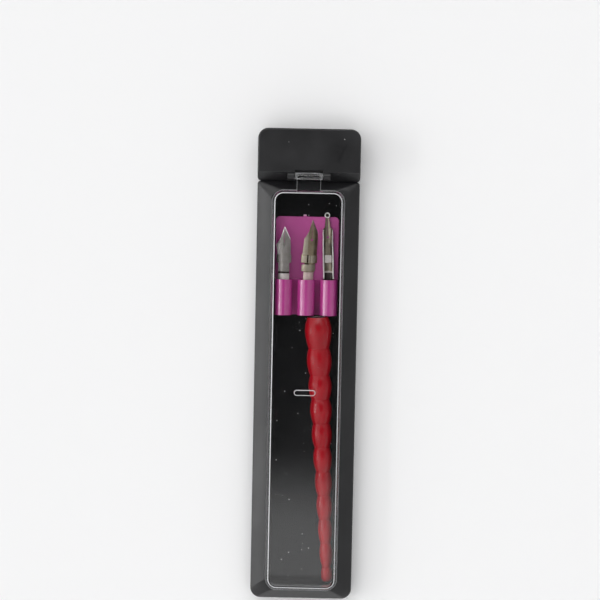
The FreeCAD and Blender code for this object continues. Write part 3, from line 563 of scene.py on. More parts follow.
# Satin purple, rougher than the rack's own, and painted paler: painted light on the low plate, which lies in
# the cavity's shade.
PURPLE_SATIN_LIT = MouldedPlastic(
    name="satin_purple", slot=Slot.PURPLE, colour=(0.49, 0.070, 0.295, 1.0), roughness=0.46,
    pale=(0.55, 0.088, 0.335, 1.0), dust_colour=(0.6, 0.4, 0.55, 1.0), dust_share=0.02, dust_size=0.06,
    grain_depth=0.004 * MM, rough_spread=0.04, fine=1900.0, broad=130.0)
PURPLE_GATE = MouldedPlastic(
    name="stressed_purple_gate", slot=Slot.PURPLE, colour=(0.62, 0.34, 0.50, 1.0), roughness=0.5,
    pale=(0.70, 0.44, 0.58, 1.0), dust_colour=(0.6, 0.4, 0.55, 1.0), dust_share=0.02, dust_size=0.06,
    grain_depth=0.01 * MM, rough_spread=0.05, fine=1900.0, broad=600.0)
RED = Lacquer(
    name="red_lacquer", slot=Slot.RED, colour=(0.355, 0.0036, 0.0105, 1.0), roughness=0.34,
    deep=(0.295, 0.0030, 0.0090, 1.0), coat=0.72, specular=0.05)
CLEAR = ClearPlastic(
    name="clear_moulding", slot=Slot.CLEAR, colour=(0.97, 0.975, 0.98, 1.0), roughness=0.0, index=1.49,
    transmission=1.0)
# Painted highlight: a whitish, mostly opaque copy of the clear plastic for the bright line along the lid's
# rounded edges and the thumb bar.
SCUFFED = ClearPlastic(
    name="scuffed_clear_edge", slot=Slot.CLEAR, colour=(0.86, 0.87, 0.89, 1.0), roughness=0.25, index=1.49,
    transmission=0.35)
# Frosted clear plastic, partly painted: its pale grey stands in for the sheen that the foot, the bar's sides
# and the tab's edges catch.
DULLED = ClearPlastic(
    name="dulled_clear_foot", slot=Slot.CLEAR, colour=(0.80, 0.81, 0.83, 1.0), roughness=0.3, index=1.49,
    transmission=0.84)
STEEL = StampedMetal(
    name="drawn_nib_steel", slot=Slot.STEEL, colour=(0.34, 0.32, 0.305, 1.0), roughness=0.46,
    dull=(0.27, 0.25, 0.235, 1.0), rough_spread=0.07)
# Satin steel, rougher than the nib's own, and painted paler: painted light on the oblique shank, the disc
# nib's strip and its clip.
STEEL_PALE = StampedMetal(
    name="satin_nib_steel", slot=Slot.STEEL, colour=(0.72, 0.67, 0.655, 1.0), roughness=0.62,
    dull=(0.62, 0.57, 0.55, 1.0), rough_spread=0.06)
# Painted light: a near-white copy of the nib steel that lifts the oblique nib's left side, which lies in
# shade.
STEEL_PAINTED_LIGHT = StampedMetal(
    name="worn_nib_steel", slot=Slot.STEEL, colour=(0.86, 0.83, 0.82, 1.0), roughness=0.6,
    dull=(0.76, 0.73, 0.71, 1.0), rough_spread=0.06)
STEEL_GROUND = StampedMetal(
    name="ground_nib_steel", slot=Slot.STEEL, colour=(0.90, 0.89, 0.87, 1.0), roughness=0.38,
    dull=(0.80, 0.79, 0.76, 1.0), rough_spread=0.06)
# Painted shade: a near-black copy of the nib steel for the shadow at the oblique nib's step, the inside of
# the disc nib's shank and the disc's centre.
STEEL_SHADE = StampedMetal(
    name="stained_nib_steel", slot=Slot.STEEL, colour=(0.075, 0.065, 0.06, 1.0), roughness=0.5,
    dull=(0.05, 0.045, 0.04, 1.0), rough_spread=0.08)
# Tarnish and painted shade: a dark brown copy of the nib steel that darkens the disc nib's hollow and the
# clip's tongue in it.
STEEL_TARNISHED_SHADED = StampedMetal(
    name="tarnished_nib_steel", slot=Slot.STEEL, colour=(0.30, 0.26, 0.205, 1.0), roughness=0.40,
    dull=(0.22, 0.185, 0.14, 1.0), rough_spread=0.08)
NICKEL = StampedMetal(
    name="drawn_nib_nickel", slot=Slot.NICKEL, colour=(0.34, 0.28, 0.20, 1.0), roughness=0.38,
    dull=(0.25, 0.195, 0.13, 1.0), rough_spread=0.08)
# Ground nickel for the point's edges and the clip's tail, and painted light on the pointed nib's left side.
NICKEL_PALE = StampedMetal(
    name="ground_nib_nickel", slot=Slot.NICKEL, colour=(0.42, 0.375, 0.30, 1.0), roughness=0.5,
    dull=(0.35, 0.305, 0.235, 1.0), rough_spread=0.07)
NICKEL_FLAP = StampedMetal(
    name="folded_nib_nickel", slot=Slot.NICKEL, colour=(0.47, 0.415, 0.335, 1.0), roughness=0.52,
    dull=(0.37, 0.32, 0.25, 1.0), rough_spread=0.07)
# Painted shade: a near-black copy of the nickel for the shadow under the clip and the slot between its flaps.
NICKEL_SHADE = StampedMetal(
    name="stained_nib_nickel", slot=Slot.NICKEL, colour=(0.055, 0.045, 0.035, 1.0), roughness=0.5,
    dull=(0.04, 0.032, 0.025, 1.0), rough_spread=0.08)
# Satin nickel, rougher than the nib's own, and painted paler: painted light on the pointed nib's shank.
NICKEL_SHANK = StampedMetal(
    name="satin_nib_nickel", slot=Slot.NICKEL, colour=(0.74, 0.62, 0.58, 1.0), roughness=0.62,
    dull=(0.64, 0.52, 0.48, 1.0), rough_spread=0.06)
HOLDER_STEEL = StampedMetal(
    name="drawn_socket_steel", slot=Slot.HOLDER, colour=(0.62, 0.61, 0.59, 1.0), roughness=0.28,
    dull=(0.50, 0.48, 0.45, 1.0), rough_spread=0.06)


def settle(piece: bpy.types.Object, body: Body, finish: Finish, *nodes: str) -> bpy.types.Object:
    """Attach a finished piece to its body and hide the nodes that it stands for.

    Args:
        piece: the piece, already in place.
        body: the body it moves with.
        finish: its main finish, not used.
        nodes: the nodes it replaces.

    Returns:
        The same piece.
    """
    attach(piece, body.value)
    if nodes:
        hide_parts(*nodes)
    LOG.info("%s: %d faces on %s", piece.name, len(piece.data.polygons), body.value)
    return piece


def new_piece(name: str, mesh: bpy.types.Mesh, *finishes: Finish) -> bpy.types.Object:
    """Make an object for a mesh and give it its finishes.

    Args:
        name: the piece's name.
        mesh: its mesh.
        finishes: its finishes, in the order of the material indices.

    Returns:
        The new object.
    """
    mesh.name = name
    for finish in finishes:
        mesh.materials.append(finish.material())
    piece = bpy.data.objects.new(name, mesh)
    bpy.context.scene.collection.objects.link(piece)
    return piece


def plain_mesh(piece: bpy.types.Object) -> bpy.types.Mesh:
    """The piece's mesh with its modifiers worked in."""
    graph = bpy.context.evaluated_depsgraph_get()
    return bpy.data.meshes.new_from_object(piece.evaluated_get(graph), depsgraph=graph)


def new_mesh(work: bmesh.types.BMesh, name: str) -> bpy.types.Mesh:
    """Turn a finished bmesh into a mesh.

    Args:
        work: the bmesh, which is used up.
        name: the mesh's name.

    Returns:
        The new mesh.
    """
    mesh = bpy.data.meshes.new(name)
    work.to_mesh(mesh)
    work.free()
    return mesh


def face_outward(mesh: bpy.types.Mesh, merge: float = 0.0) -> None:
    """Turn a mesh's faces outward, after its near corners are made one.

    Args:
        mesh: the mesh to change.
        merge: how near such corners lie, 0 for none.
    """
    work = bmesh.new()
    work.from_mesh(mesh)
    if merge:
        bmesh.ops.remove_doubles(work, verts=work.verts, dist=merge)
    bmesh.ops.recalc_face_normals(work, faces=work.faces)
    work.to_mesh(mesh)
    work.free()


def work_in(piece: bpy.types.Object) -> None:
    """Work a piece's modifiers into its mesh."""
    piece.data = plain_mesh(piece)
    piece.modifiers.clear()


def smooth_shade(mesh: bpy.types.Mesh, angle: float) -> None:
    """Shade a mesh smooth, with sharp edges past an angle in degrees."""
    mesh.shade_smooth()
    mesh.set_sharp_from_angle(angle=math.radians(angle))


def even_normals(piece: bpy.types.Object, angle: float) -> None:
    """Shade a piece smooth and weigh its normals by the size of the faces.

    Args:
        piece: the piece, whose mesh is replaced.
        angle: the bend past which an edge stays sharp, in degrees.
    """
    smooth_shade(piece.data, angle)
    piece.modifiers.new("even_normals", "WEIGHTED_NORMAL").keep_sharp = True
    work_in(piece)


def ease_edges(piece: bpy.types.Object, width: float) -> None:
    """Round off a piece's sharp edges and even out its normals.

    Args:
        piece: the piece, whose mesh is replaced.
        width: the rounding's width.
    """
    bevel = piece.modifiers.new("eased_edges", "BEVEL")
    bevel.width = width
    bevel.segments = EASED_STEPS
    bevel.limit_method = "ANGLE"
    bevel.angle_limit = math.radians(EASED_BEND)
    bevel.use_clamp_overlap = False
    work_in(piece)
    even_normals(piece, SMOOTH_BEND)


@dataclass(frozen=True)
class Patch:
    """A part of a piece's surface with a finish of its own, inside a box and past slanting lines."""

    finish: Finish
    low: Triple = (-FAR, -FAR, -FAR)
    high: Triple = (FAR, FAR, FAR)
    crossed: bool = True
    lines: tuple[tuple[Vector, Vector], ...] = ()
    slope: float = 0.0

    def past(self, spot: Vector) -> float:
        """How far a point lies past the nearest slanting line."""
        return min(((spot - point).dot(normal) for point, normal in self.lines), default=FAR)

    def holds(self, spot: Vector) -> bool:
        """Whether a point lies in the patch."""
        inside = all(low < at < high for low, at, high in zip(self.low, spot, self.high))
        return inside and self.past(spot) > 0.0

    def apply(self, work: bmesh.types.BMesh, index: int) -> None:
        """Cut the patch out of the surface, tilt it by its slope and mark its faces.

        Args:
            work: the piece's mesh.
            index: the finish's material index.
        """
        across = Vector((0.0, 1.0, 0.0))
        planes = [(Vector(corner), across) for corner in (self.low, self.high)] if self.crossed else []
        for point, normal in (*planes, *self.lines):
            bmesh.ops.bisect_plane(work, geom=work.verts[:] + work.edges[:] + work.faces[:],
                                   dist=CUT_MERGE, plane_co=point, plane_no=normal)
        for face in work.faces:
            if self.holds(face.calc_center_median()):
                face.material_index = index
        if self.slope:
            for vert in work.verts:
                if self.holds(vert.co):
                    vert.co.z -= self.slope * self.past(vert.co)


def side_line(first: tuple[float, float], last: tuple[float, float], inset: float) -> tuple[Vector, Vector]:
    """An upright plane beside a straight side of an outline.

    Args:
        first: the side's first end in plan, in millimetres, with the outline's inside on the right.
        last: its last end.
        inset: how far inside the plane lies.

    Returns:
        A point of the plane and its outward normal.
    """
    start = Vector((*first, 0.0)) * MM
    way = (Vector((*last, 0.0)) * MM - start).normalized()
    outward = Vector((-way.y, way.x, 0.0))
    return start - outward * inset, outward


def band(finish: Finish, near: float = -FAR / MM, far: float = FAR / MM,
         lines: tuple[tuple[Vector, Vector], ...] = (), slope: float = 0.0) -> Patch:
    """A patch that goes right across a piece.

    Args:
        finish: its finish.
        near: where it starts along Y, in millimetres.
        far: where it ends along Y, in millimetres.
        lines: the slanting lines that it lies past.
        slope: how steeply it falls away past them.

    Returns:
        The patch.
    """
    return Patch(finish, (-FAR, near * MM, -FAR), (FAR, far * MM, FAR), lines=lines, slope=slope)


def band_between(work: bmesh.types.BMesh, low: list[bmesh.types.BMVert], high: list[bmesh.types.BMVert],
                 finish: int = 0) -> None:
    """Join two closed loops by a band of faces.

    Args:
        work: the mesh to add to.
        low: the first loop.
        high: the other loop, with as many vertices.
        finish: the faces' material index.
    """
    for index, (here, there) in enumerate(zip(low, high)):
        after = (index + 1) % len(low)
        work.faces.new((here, low[after], high[after], there)).material_index = finish


@dataclass
class SoftenedNode:
    """A copy of a frame node whose sharp edges are eased, as on a moulded or stamped piece."""

    node: str
    piece: str
    body: Body
    finish: Finish
    edge: float
    flat: float = 0.3
    patches: tuple[Patch, ...] = ()

    def build(self, nodes: dict[str, bpy.types.Object]) -> bpy.types.Object:
        """Make the copy and put it in the node's place.

        Args:
            nodes: the frame's node objects by name.

        Returns:
            The finished piece.
        """
        work = bmesh.new()
        work.from_mesh(nodes[self.node].data)
        bmesh.ops.remove_doubles(work, verts=work.verts, dist=MERGE)
        finishes = list(dict.fromkeys((self.finish, *(patch.finish for patch in self.patches))))
        for patch in self.patches:
            patch.apply(work, finishes.index(patch.finish))
        bmesh.ops.dissolve_limit(work, angle_limit=math.radians(self.flat), verts=work.verts,
                                 edges=work.edges, delimit={"MATERIAL"})
        draft = new_piece(self.piece, new_mesh(work, self.piece), *finishes)
        ease_edges(draft, self.edge)
        return settle(draft, self.body, self.finish, self.node)


@dataclass
class ClipFlap:
    """A thin flap of a clip, folded over a nib and lying on its surface."""

    piece: str
    under: tuple[str, ...]
    body: Body
    finish: Finish
    left: float
    right: float
    near: float
    far: float
    lean: float = 0.05
    droop: float = 0.7
    lift: float = 0.02 * MM
    thickness: float = 0.24 * MM
    edge: float = 0.06 * MM
    above: float = 50.0 * MM
    rows: int = 6
    columns: int = 14

    def row_spots(self, trees: list[BVHTree], y: float) -> list[Vector]:
        """Points of the nib's upper surface across the flap.

        Args:
            trees: the surfaces that the flap can lie on.
            y: where the row lies.

        Returns:
            The row's points, where one past the nib's edge hangs down from the last one on it.
        """
        down = Vector((0.0, 0.0, -1.0))
        heights = []
        for column in range(self.columns + 1):
            share = column / self.columns
            x = self.left + (self.right - self.left) * share + self.lean * (y - self.near)
            hits = [tree.ray_cast(Vector((x, y, self.above)), down)[0] for tree in trees]
            heights.append((x, max((hit.z for hit in hits if hit), default=None)))
        met = [(x, z) for x, z in heights if z is not None]
        spots = []
        for x, z in heights:
            edge_x, edge_z = min(met, key=lambda spot: abs(spot[0] - x))
            spots.append(Vector((x, y, edge_z - self.droop * abs(x - edge_x) if z is None else z)))
        return spots

    def build(self, nodes: dict[str, bpy.types.Object]) -> bpy.types.Object:
        """Make the flap a closed sheet with eased edges.

        Args:
            nodes: the frame's node objects by name.

        Returns:
            The finished piece.
        """
        trees = []
        for name in self.under:
            data = nodes[name].data
            trees.append(BVHTree.FromPolygons([vert.co for vert in data.vertices],
                                              [face.vertices for face in data.polygons]))
        reach = self.far - self.near
        rows = [self.row_spots(trees, self.near + reach * row / self.rows) for row in range(self.rows + 1)]
        work = bmesh.new()
        rims = []
        for rise in (self.lift, self.lift + self.thickness):
            skin = [[work.verts.new(spot + Vector((0.0, 0.0, rise))) for spot in row] for row in rows]
            for low, high in zip(skin, skin[1:]):
                for column in range(self.columns):
                    work.faces.new((low[column], low[column + 1], high[column + 1], high[column]))
            rims.append([*skin[0], *(row[-1] for row in skin[1:]), *reversed(skin[-1][:-1]),
                         *(row[0] for row in reversed(skin[1:-1]))])
        band_between(work, *rims)
        bmesh.ops.recalc_face_normals(work, faces=work.faces)
        flap = new_piece(self.piece, new_mesh(work, self.piece), self.finish)
        ease_edges(flap, self.edge)
        return settle(flap, self.body, self.finish)


@dataclass
class RolledRim:
    """A rolled edge of a nib, a thin rod along its rim."""

    piece: str
    body: Body
    finish: Finish
    points: tuple[Triple, ...]
    radius: float
    closed: bool = False
    tip_share: float = 0.3
    round_steps: int = 4

    def build(self, nodes: dict[str, bpy.types.Object]) -> bpy.types.Object:
        """Sweep the rod along its points and make it a mesh.

        Args:
            nodes: the frame's node objects by name, not needed here.

        Returns:
            The finished piece.
        """
        curve = bpy.data.curves.new(self.piece, "CURVE")
        curve.dimensions = "3D"
        curve.bevel_depth = self.radius
        curve.bevel_resolution = self.round_steps
        curve.use_fill_caps = True
        line = curve.splines.new("POLY")
        line.points.add(len(self.points) - 1)
        line.use_cyclic_u = self.closed
        for point, spot in zip(line.points, self.points):
            point.co = (*(value * MM for value in spot), 1.0)
        if not self.closed:
            line.points[0].radius = self.tip_share
        path = bpy.data.objects.new(f"{self.piece}_path", curve)
        bpy.context.scene.collection.objects.link(path)
        mesh = plain_mesh(path)
        bpy.data.objects.remove(path)
        face_outward(mesh, MERGE)
        mesh.materials.clear()
        rim = new_piece(self.piece, mesh, self.finish)
        smooth_shade(mesh, SMOOTH_BEND)
        return settle(rim, self.body, self.finish)


@dataclass
class Lid:
    """The clear lid: a drafted shell with a rounded edge, thumb bar, lip, catch and hinge tab."""

    edge: float = 0.45 * MM
    foot_height: float = 0.5 * MM
    foot_width: float = 0.36 * MM
    wall_inset: float = 1.25 * MM
    toe_inset: float = 2.0 * MM
    corner: float = 5.2 * MM
    top: float = 1.2 * MM
    end_margin: float = 3.7 * MM
    cavity_set: float = 1.6 * MM
    lip_gap: float = 0.15 * MM
    lip_wall: float = 0.6 * MM
    lip_depth: float = 1.0 * MM
    cavity_corner: float = 3.6 * MM
    grip_length: float = 9.5 * MM
    grip_width: float = 2.6 * MM
    grip_height: float = 0.7 * MM
    grip_edge: float = 0.35 * MM
    grip_ease: float = 0.3
    bar_radius: float = 1.5 * MM
    bar_length: float = 12.0 * MM
    trunnion_radius: float = 1.2 * MM
    trunnion_length: float = 2.2 * MM
    hinge_setback: float = 2.2 * MM
    hinge_drop: float = 0.5 * MM
    tab_width: float = 10.6 * MM
    tab_edge: float = 0.25 * MM
    tab_rise: float = 0.6 * MM
    catch_width: float = 9.0 * MM
    catch_radius: float = 0.3 * MM
    corner_steps: int = 12
    edge_steps: int = 6
    rod_spans: int = 24
    rod_sides: int = 48
    lens_reach: float = 0.62
    lens_turn: float = 0.3
    dull_reach: float = 1.5
    smooth_bend: float = 34.0

    def __post_init__(self) -> None:
        """Work out the lid's levels and ends from the frame."""
        low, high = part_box("lid")
        self.half = high.x
        self.toe_y = low.y
        self.groove_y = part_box("end_cap")[0].y
        self.heel_y = self.groove_y - self.end_margin
        self.foot_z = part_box("tray")[1].z
        self.top_z = high.z - self.grip_height
        self.under_z = self.top_z - self.top

    def ring(self, work: bmesh.types.BMesh, z: float, inset: float, toe_inset: float,
             corner: float) -> list[bmesh.types.BMVert]:
        """One level loop of the lid, a rectangle with round corners.

        Args:
            work: the mesh to add to.
            z: the loop's height.
            inset: how far it lies inside the foot at the sides and the heel.
            toe_inset: how far it lies inside the foot at the free end.
            corner: its corner radius.

        Returns:
            The loop's vertices in order.
        """
        low_y, high_y, half = self.toe_y + toe_inset, self.heel_y - inset, self.half - inset
        loop = []
        corners = ((half, high_y), (-half, high_y), (-half, low_y), (half, low_y))
        for index, (x, y) in enumerate(corners):
            hub_x, hub_y = x - math.copysign(corner, x), y - (corner if y == high_y else -corner)
            for step in range(self.corner_steps + 1):
                angle = math.pi / 2 * (index + step / self.corner_steps)
                spot = (hub_x + corner * math.cos(angle), hub_y + corner * math.sin(angle), z)
                loop.append(work.verts.new(spot))
        return loop

    def shell(self) -> bmesh.types.BMesh:
        """The shell with its lip and thumb bar, as one closed skin.

        Returns:
            The mesh, with the skin of each face as its material index.
        """
        work = bmesh.new()
        rise = self.top_z - self.foot_z
        share = (rise - self.edge) / rise
        foot_top, foot_set = self.foot_z + self.foot_height, self.foot_width
        loops = [(self.foot_z, 0.0, 0.0, self.corner, LidSkin.CLEAR),
                 # The foot is dulled, with a painted sheen.
                 (foot_top, 0.0, 0.0, self.corner, LidSkin.DULLED),
                 (foot_top, foot_set, foot_set, self.corner - foot_set, LidSkin.DULLED)]
        for step in range(self.edge_steps + 1):
            angle = math.pi / 2 * step / self.edge_steps
            run = self.edge * (1 - math.cos(angle))
            inset = share * self.wall_inset + run
            # The rounded edge's steps carry a painted highlight.
            skin = LidSkin.SCUFFED if step else LidSkin.CLEAR
            loops.append((self.top_z - self.edge * (1 - math.sin(angle)), inset, share * self.toe_inset + run,
                          self.corner - inset, skin))
        lip_set = self.cavity_set + self.lip_gap
        lip_corner = self.cavity_corner - self.lip_gap
        lip_foot = self.foot_z - self.lip_depth
        room_set, room_corner = lip_set + self.lip_wall, lip_corner - self.lip_wall
        under = [(self.foot_z, lip_set, lip_set, lip_corner),
                 (lip_foot, lip_set, lip_set, lip_corner),
                 (lip_foot, room_set, room_set, room_corner),
                 (self.under_z, room_set, room_set, room_corner)]
        outer = [self.ring(work, *row[:4]) for row in loops]
        inner = [self.ring(work, *row) for row in under]
        for index, row in enumerate(loops[1:]):
            band_between(work, outer[index], outer[index + 1], row[4])
        band_between(work, inner[0], outer[0])
        for index in range(len(inner) - 1):
            band_between(work, inner[index + 1], inner[index])
        work.faces.new(reversed(inner[-1]))
        self.thumb_bar(work, outer[-1])
        bmesh.ops.recalc_face_normals(work, faces=work.faces)
        return work

    def thumb_bar(self, work: bmesh.types.BMesh, top: list[bmesh.types.BMVert]) -> None:
        """Close the top around a raised thumb bar with rounded ends, whose edges carry a painted highlight.

        Args:
            work: the shell's mesh.
            top: the loop at the rim of the top face.
        """
        middle = (self.toe_y + self.heel_y) / 2
        radius, reach = self.grip_width / 2, (self.grip_length - self.grip_width) / 2
        steps, ease = self.corner_steps, self.grip_ease * self.grip_edge
        loops = []
        for inset, rise in ((0.0, 0.0), (0.0, self.grip_height - self.grip_edge),
                            (ease, self.grip_height - ease), (self.grip_edge, self.grip_height)):
            loop = []
            for side in (1, -1):
                for step in range(steps + 1):
                    angle = math.pi * (step / steps - side / 2)
                    loop.append(work.verts.new((side * reach + (radius - inset) * math.cos(angle),
                                                middle + (radius - inset) * math.sin(angle),
                                                self.top_z + rise)))
            loops.append(loop)
        # The thumb bar's sides and eased edge carry a painted highlight.
        for index in range(len(loops) - 1):
            band_between(work, loops[index], loops[index + 1], LidSkin.SCUFFED)
        work.faces.new(loops[-1]).material_index = LidSkin.CLEAR
        rims = []
        for loop in (top, loops[0]):
            for here, after in zip(loop, loop[1:] + loop[:1]):
                rims.append(work.edges.get((here, after)) or work.edges.new((here, after)))
        filled = bmesh.ops.triangle_fill(work, edges=rims, use_beauty=True, normal=(0.0, 0.0, 1.0))
        for face in filled["geom"]:
            if isinstance(face, bmesh.types.BMFace):
                face.material_index = LidSkin.CLEAR

    def rod(self, work: bmesh.types.BMesh, radius: float, length: float, middle: Vector, lens: bool) -> None:
        """A round rod along X.

        Args:
            work: the mesh to add to.
            radius: the rod's radius.
            length: its length.
            middle: its middle.
            lens: whether its skin is dulled, with a painted sheen, but for a clear lens along its top.
        """
        spans, sides = self.rod_spans, self.rod_sides
        rings = []
        for span in range(spans + 1):
            x = middle.x + length * (span / spans - 0.5)
            rings.append([work.verts.new((x, middle.y + radius * math.sin(math.tau * side / sides),
                                          middle.z + radius * math.cos(math.tau * side / sides)))
                          for side in range(sides)])
        for span in range(spans):
            reach = self.lens_reach * (1.0 - ((2 * span + 1) / spans - 1.0) ** 2)
            for side in range(sides):
                after = (side + 1) % sides
                face = work.faces.new((rings[span][side], rings[span][after], rings[span + 1][after],
                                       rings[span + 1][side]))
                turn = (side + 0.5) / sides * math.tau
                away = abs((turn - self.lens_turn + math.pi) % math.tau - math.pi)
                dulled = lens and reach < away < self.dull_reach
                face.material_index = LidSkin.DULLED if dulled else LidSkin.CLEAR
        work.faces.new(rings[0])
        work.faces.new(rings[-1])

    def tab(self, work: bmesh.types.BMesh, hinge: Vector) -> None:
        """The flat tab between the shell and the hinge bar, with its two long upper edges eased and dulled,
        with a painted sheen.

        Args:
            work: the mesh to add to.
            hinge: the middle of the hinge.
        """
        bmesh.ops.create_cube(work, size=1.0)
        low = Vector((-self.tab_width / 2, self.heel_y - self.wall_inset, hinge.z + self.tab_rise))
        high = Vector((self.tab_width / 2, hinge.y, hinge.z + self.bar_radius))
        for vert in work.verts:
            vert.co = [low[axis] if vert.co[axis] < 0 else high[axis] for axis in range(3)]
        long_edges = [edge for edge in work.edges
                      if all(abs(vert.co.z - high.z) < SAME for vert in edge.verts)
                      and abs(edge.verts[0].co.x - edge.verts[1].co.x) < SAME]
        bmesh.ops.bevel(work, geom=long_edges, offset=self.tab_edge, segments=EASED_STEPS, profile=0.5,
                        affect="EDGES", material=LidSkin.DULLED)

    def fitting(self, kind: LidFitting) -> bpy.types.Object:
        """One of the solids that join the shell.

        Args:
            kind: which of them.

        Returns:
            A closed mesh object in place.
        """
        work = bmesh.new()
        hinge = Vector((0.0, self.groove_y + self.hinge_setback, self.foot_z - self.hinge_drop))
        catch = Vector((0.0, self.toe_y + self.cavity_set + self.lip_gap, self.foot_z - self.lip_depth / 2))
        if kind is LidFitting.TAB:
            self.tab(work, hinge)
        elif kind is LidFitting.BAR:
            self.rod(work, self.bar_radius, self.bar_length, hinge, lens=True)
        elif kind is LidFitting.TRUNNIONS:
            length = self.bar_length + 2 * self.trunnion_length
            self.rod(work, self.trunnion_radius, length, hinge, lens=False)
        else:
            self.rod(work, self.catch_radius, self.catch_width, catch, lens=False)
        bmesh.ops.recalc_face_normals(work, faces=work.faces)
        return new_piece(kind.value, new_mesh(work, kind.value), CLEAR, SCUFFED, DULLED)

    def build(self) -> bpy.types.Object:
        """Join the shell and its fittings into one clear piece.

        Returns:
            The finished lid.
        """
        lid = new_piece("clear_lid", new_mesh(self.shell(), "clear_lid"), CLEAR, SCUFFED, DULLED)
        fittings = [self.fitting(kind) for kind in LidFitting]
        for fitting in fittings:
            union = lid.modifiers.new(fitting.name, "BOOLEAN")
            union.operation = "UNION"
            union.solver = "EXACT"
            union.object = fitting
        work_in(lid)
        for fitting in fittings:
            bpy.data.objects.remove(fitting)
        even_normals(lid, self.smooth_bend)
        return settle(lid, Body.LID, CLEAR, "lid")


class Sum:
    """A geometry node value that can be used in plain arithmetic."""

    def __init__(self, work: Tree, socket: bpy.types.NodeSocket) -> None:
        """Hold one output of a tree."""
        self.work = work
        self.socket = socket

    def apply(self, operation: str, *others: object, clamp: bool = False) -> "Sum":
        """A Math node of this value and others.

        Args:
            operation: the node's operation.
            others: values or numbers.
            clamp: whether the result is kept between 0 and 1.

        Returns:
            The node's value.
        """
        values = [item.socket if isinstance(item, Sum) else item for item in (self, *others)]
        return Sum(self.work, self.work.math(operation, *values, clamp=clamp))

    def __add__(self, other: object) -> "Sum":
        """This value plus another."""
        return self.apply("ADD", other)

    def __sub__(self, other: object) -> "Sum":
        """This value less another."""
        return self.apply("SUBTRACT", other)

    def __mul__(self, other: object) -> "Sum":
        """This value times another."""
        return self.apply("MULTIPLY", other)

    def __truediv__(self, other: object) -> "Sum":
        """This value over another."""
        return self.apply("DIVIDE", other)

    def held(self) -> "Sum":
        """This value kept between 0 and 1."""
        return self.apply("ADD", 0.0, clamp=True)


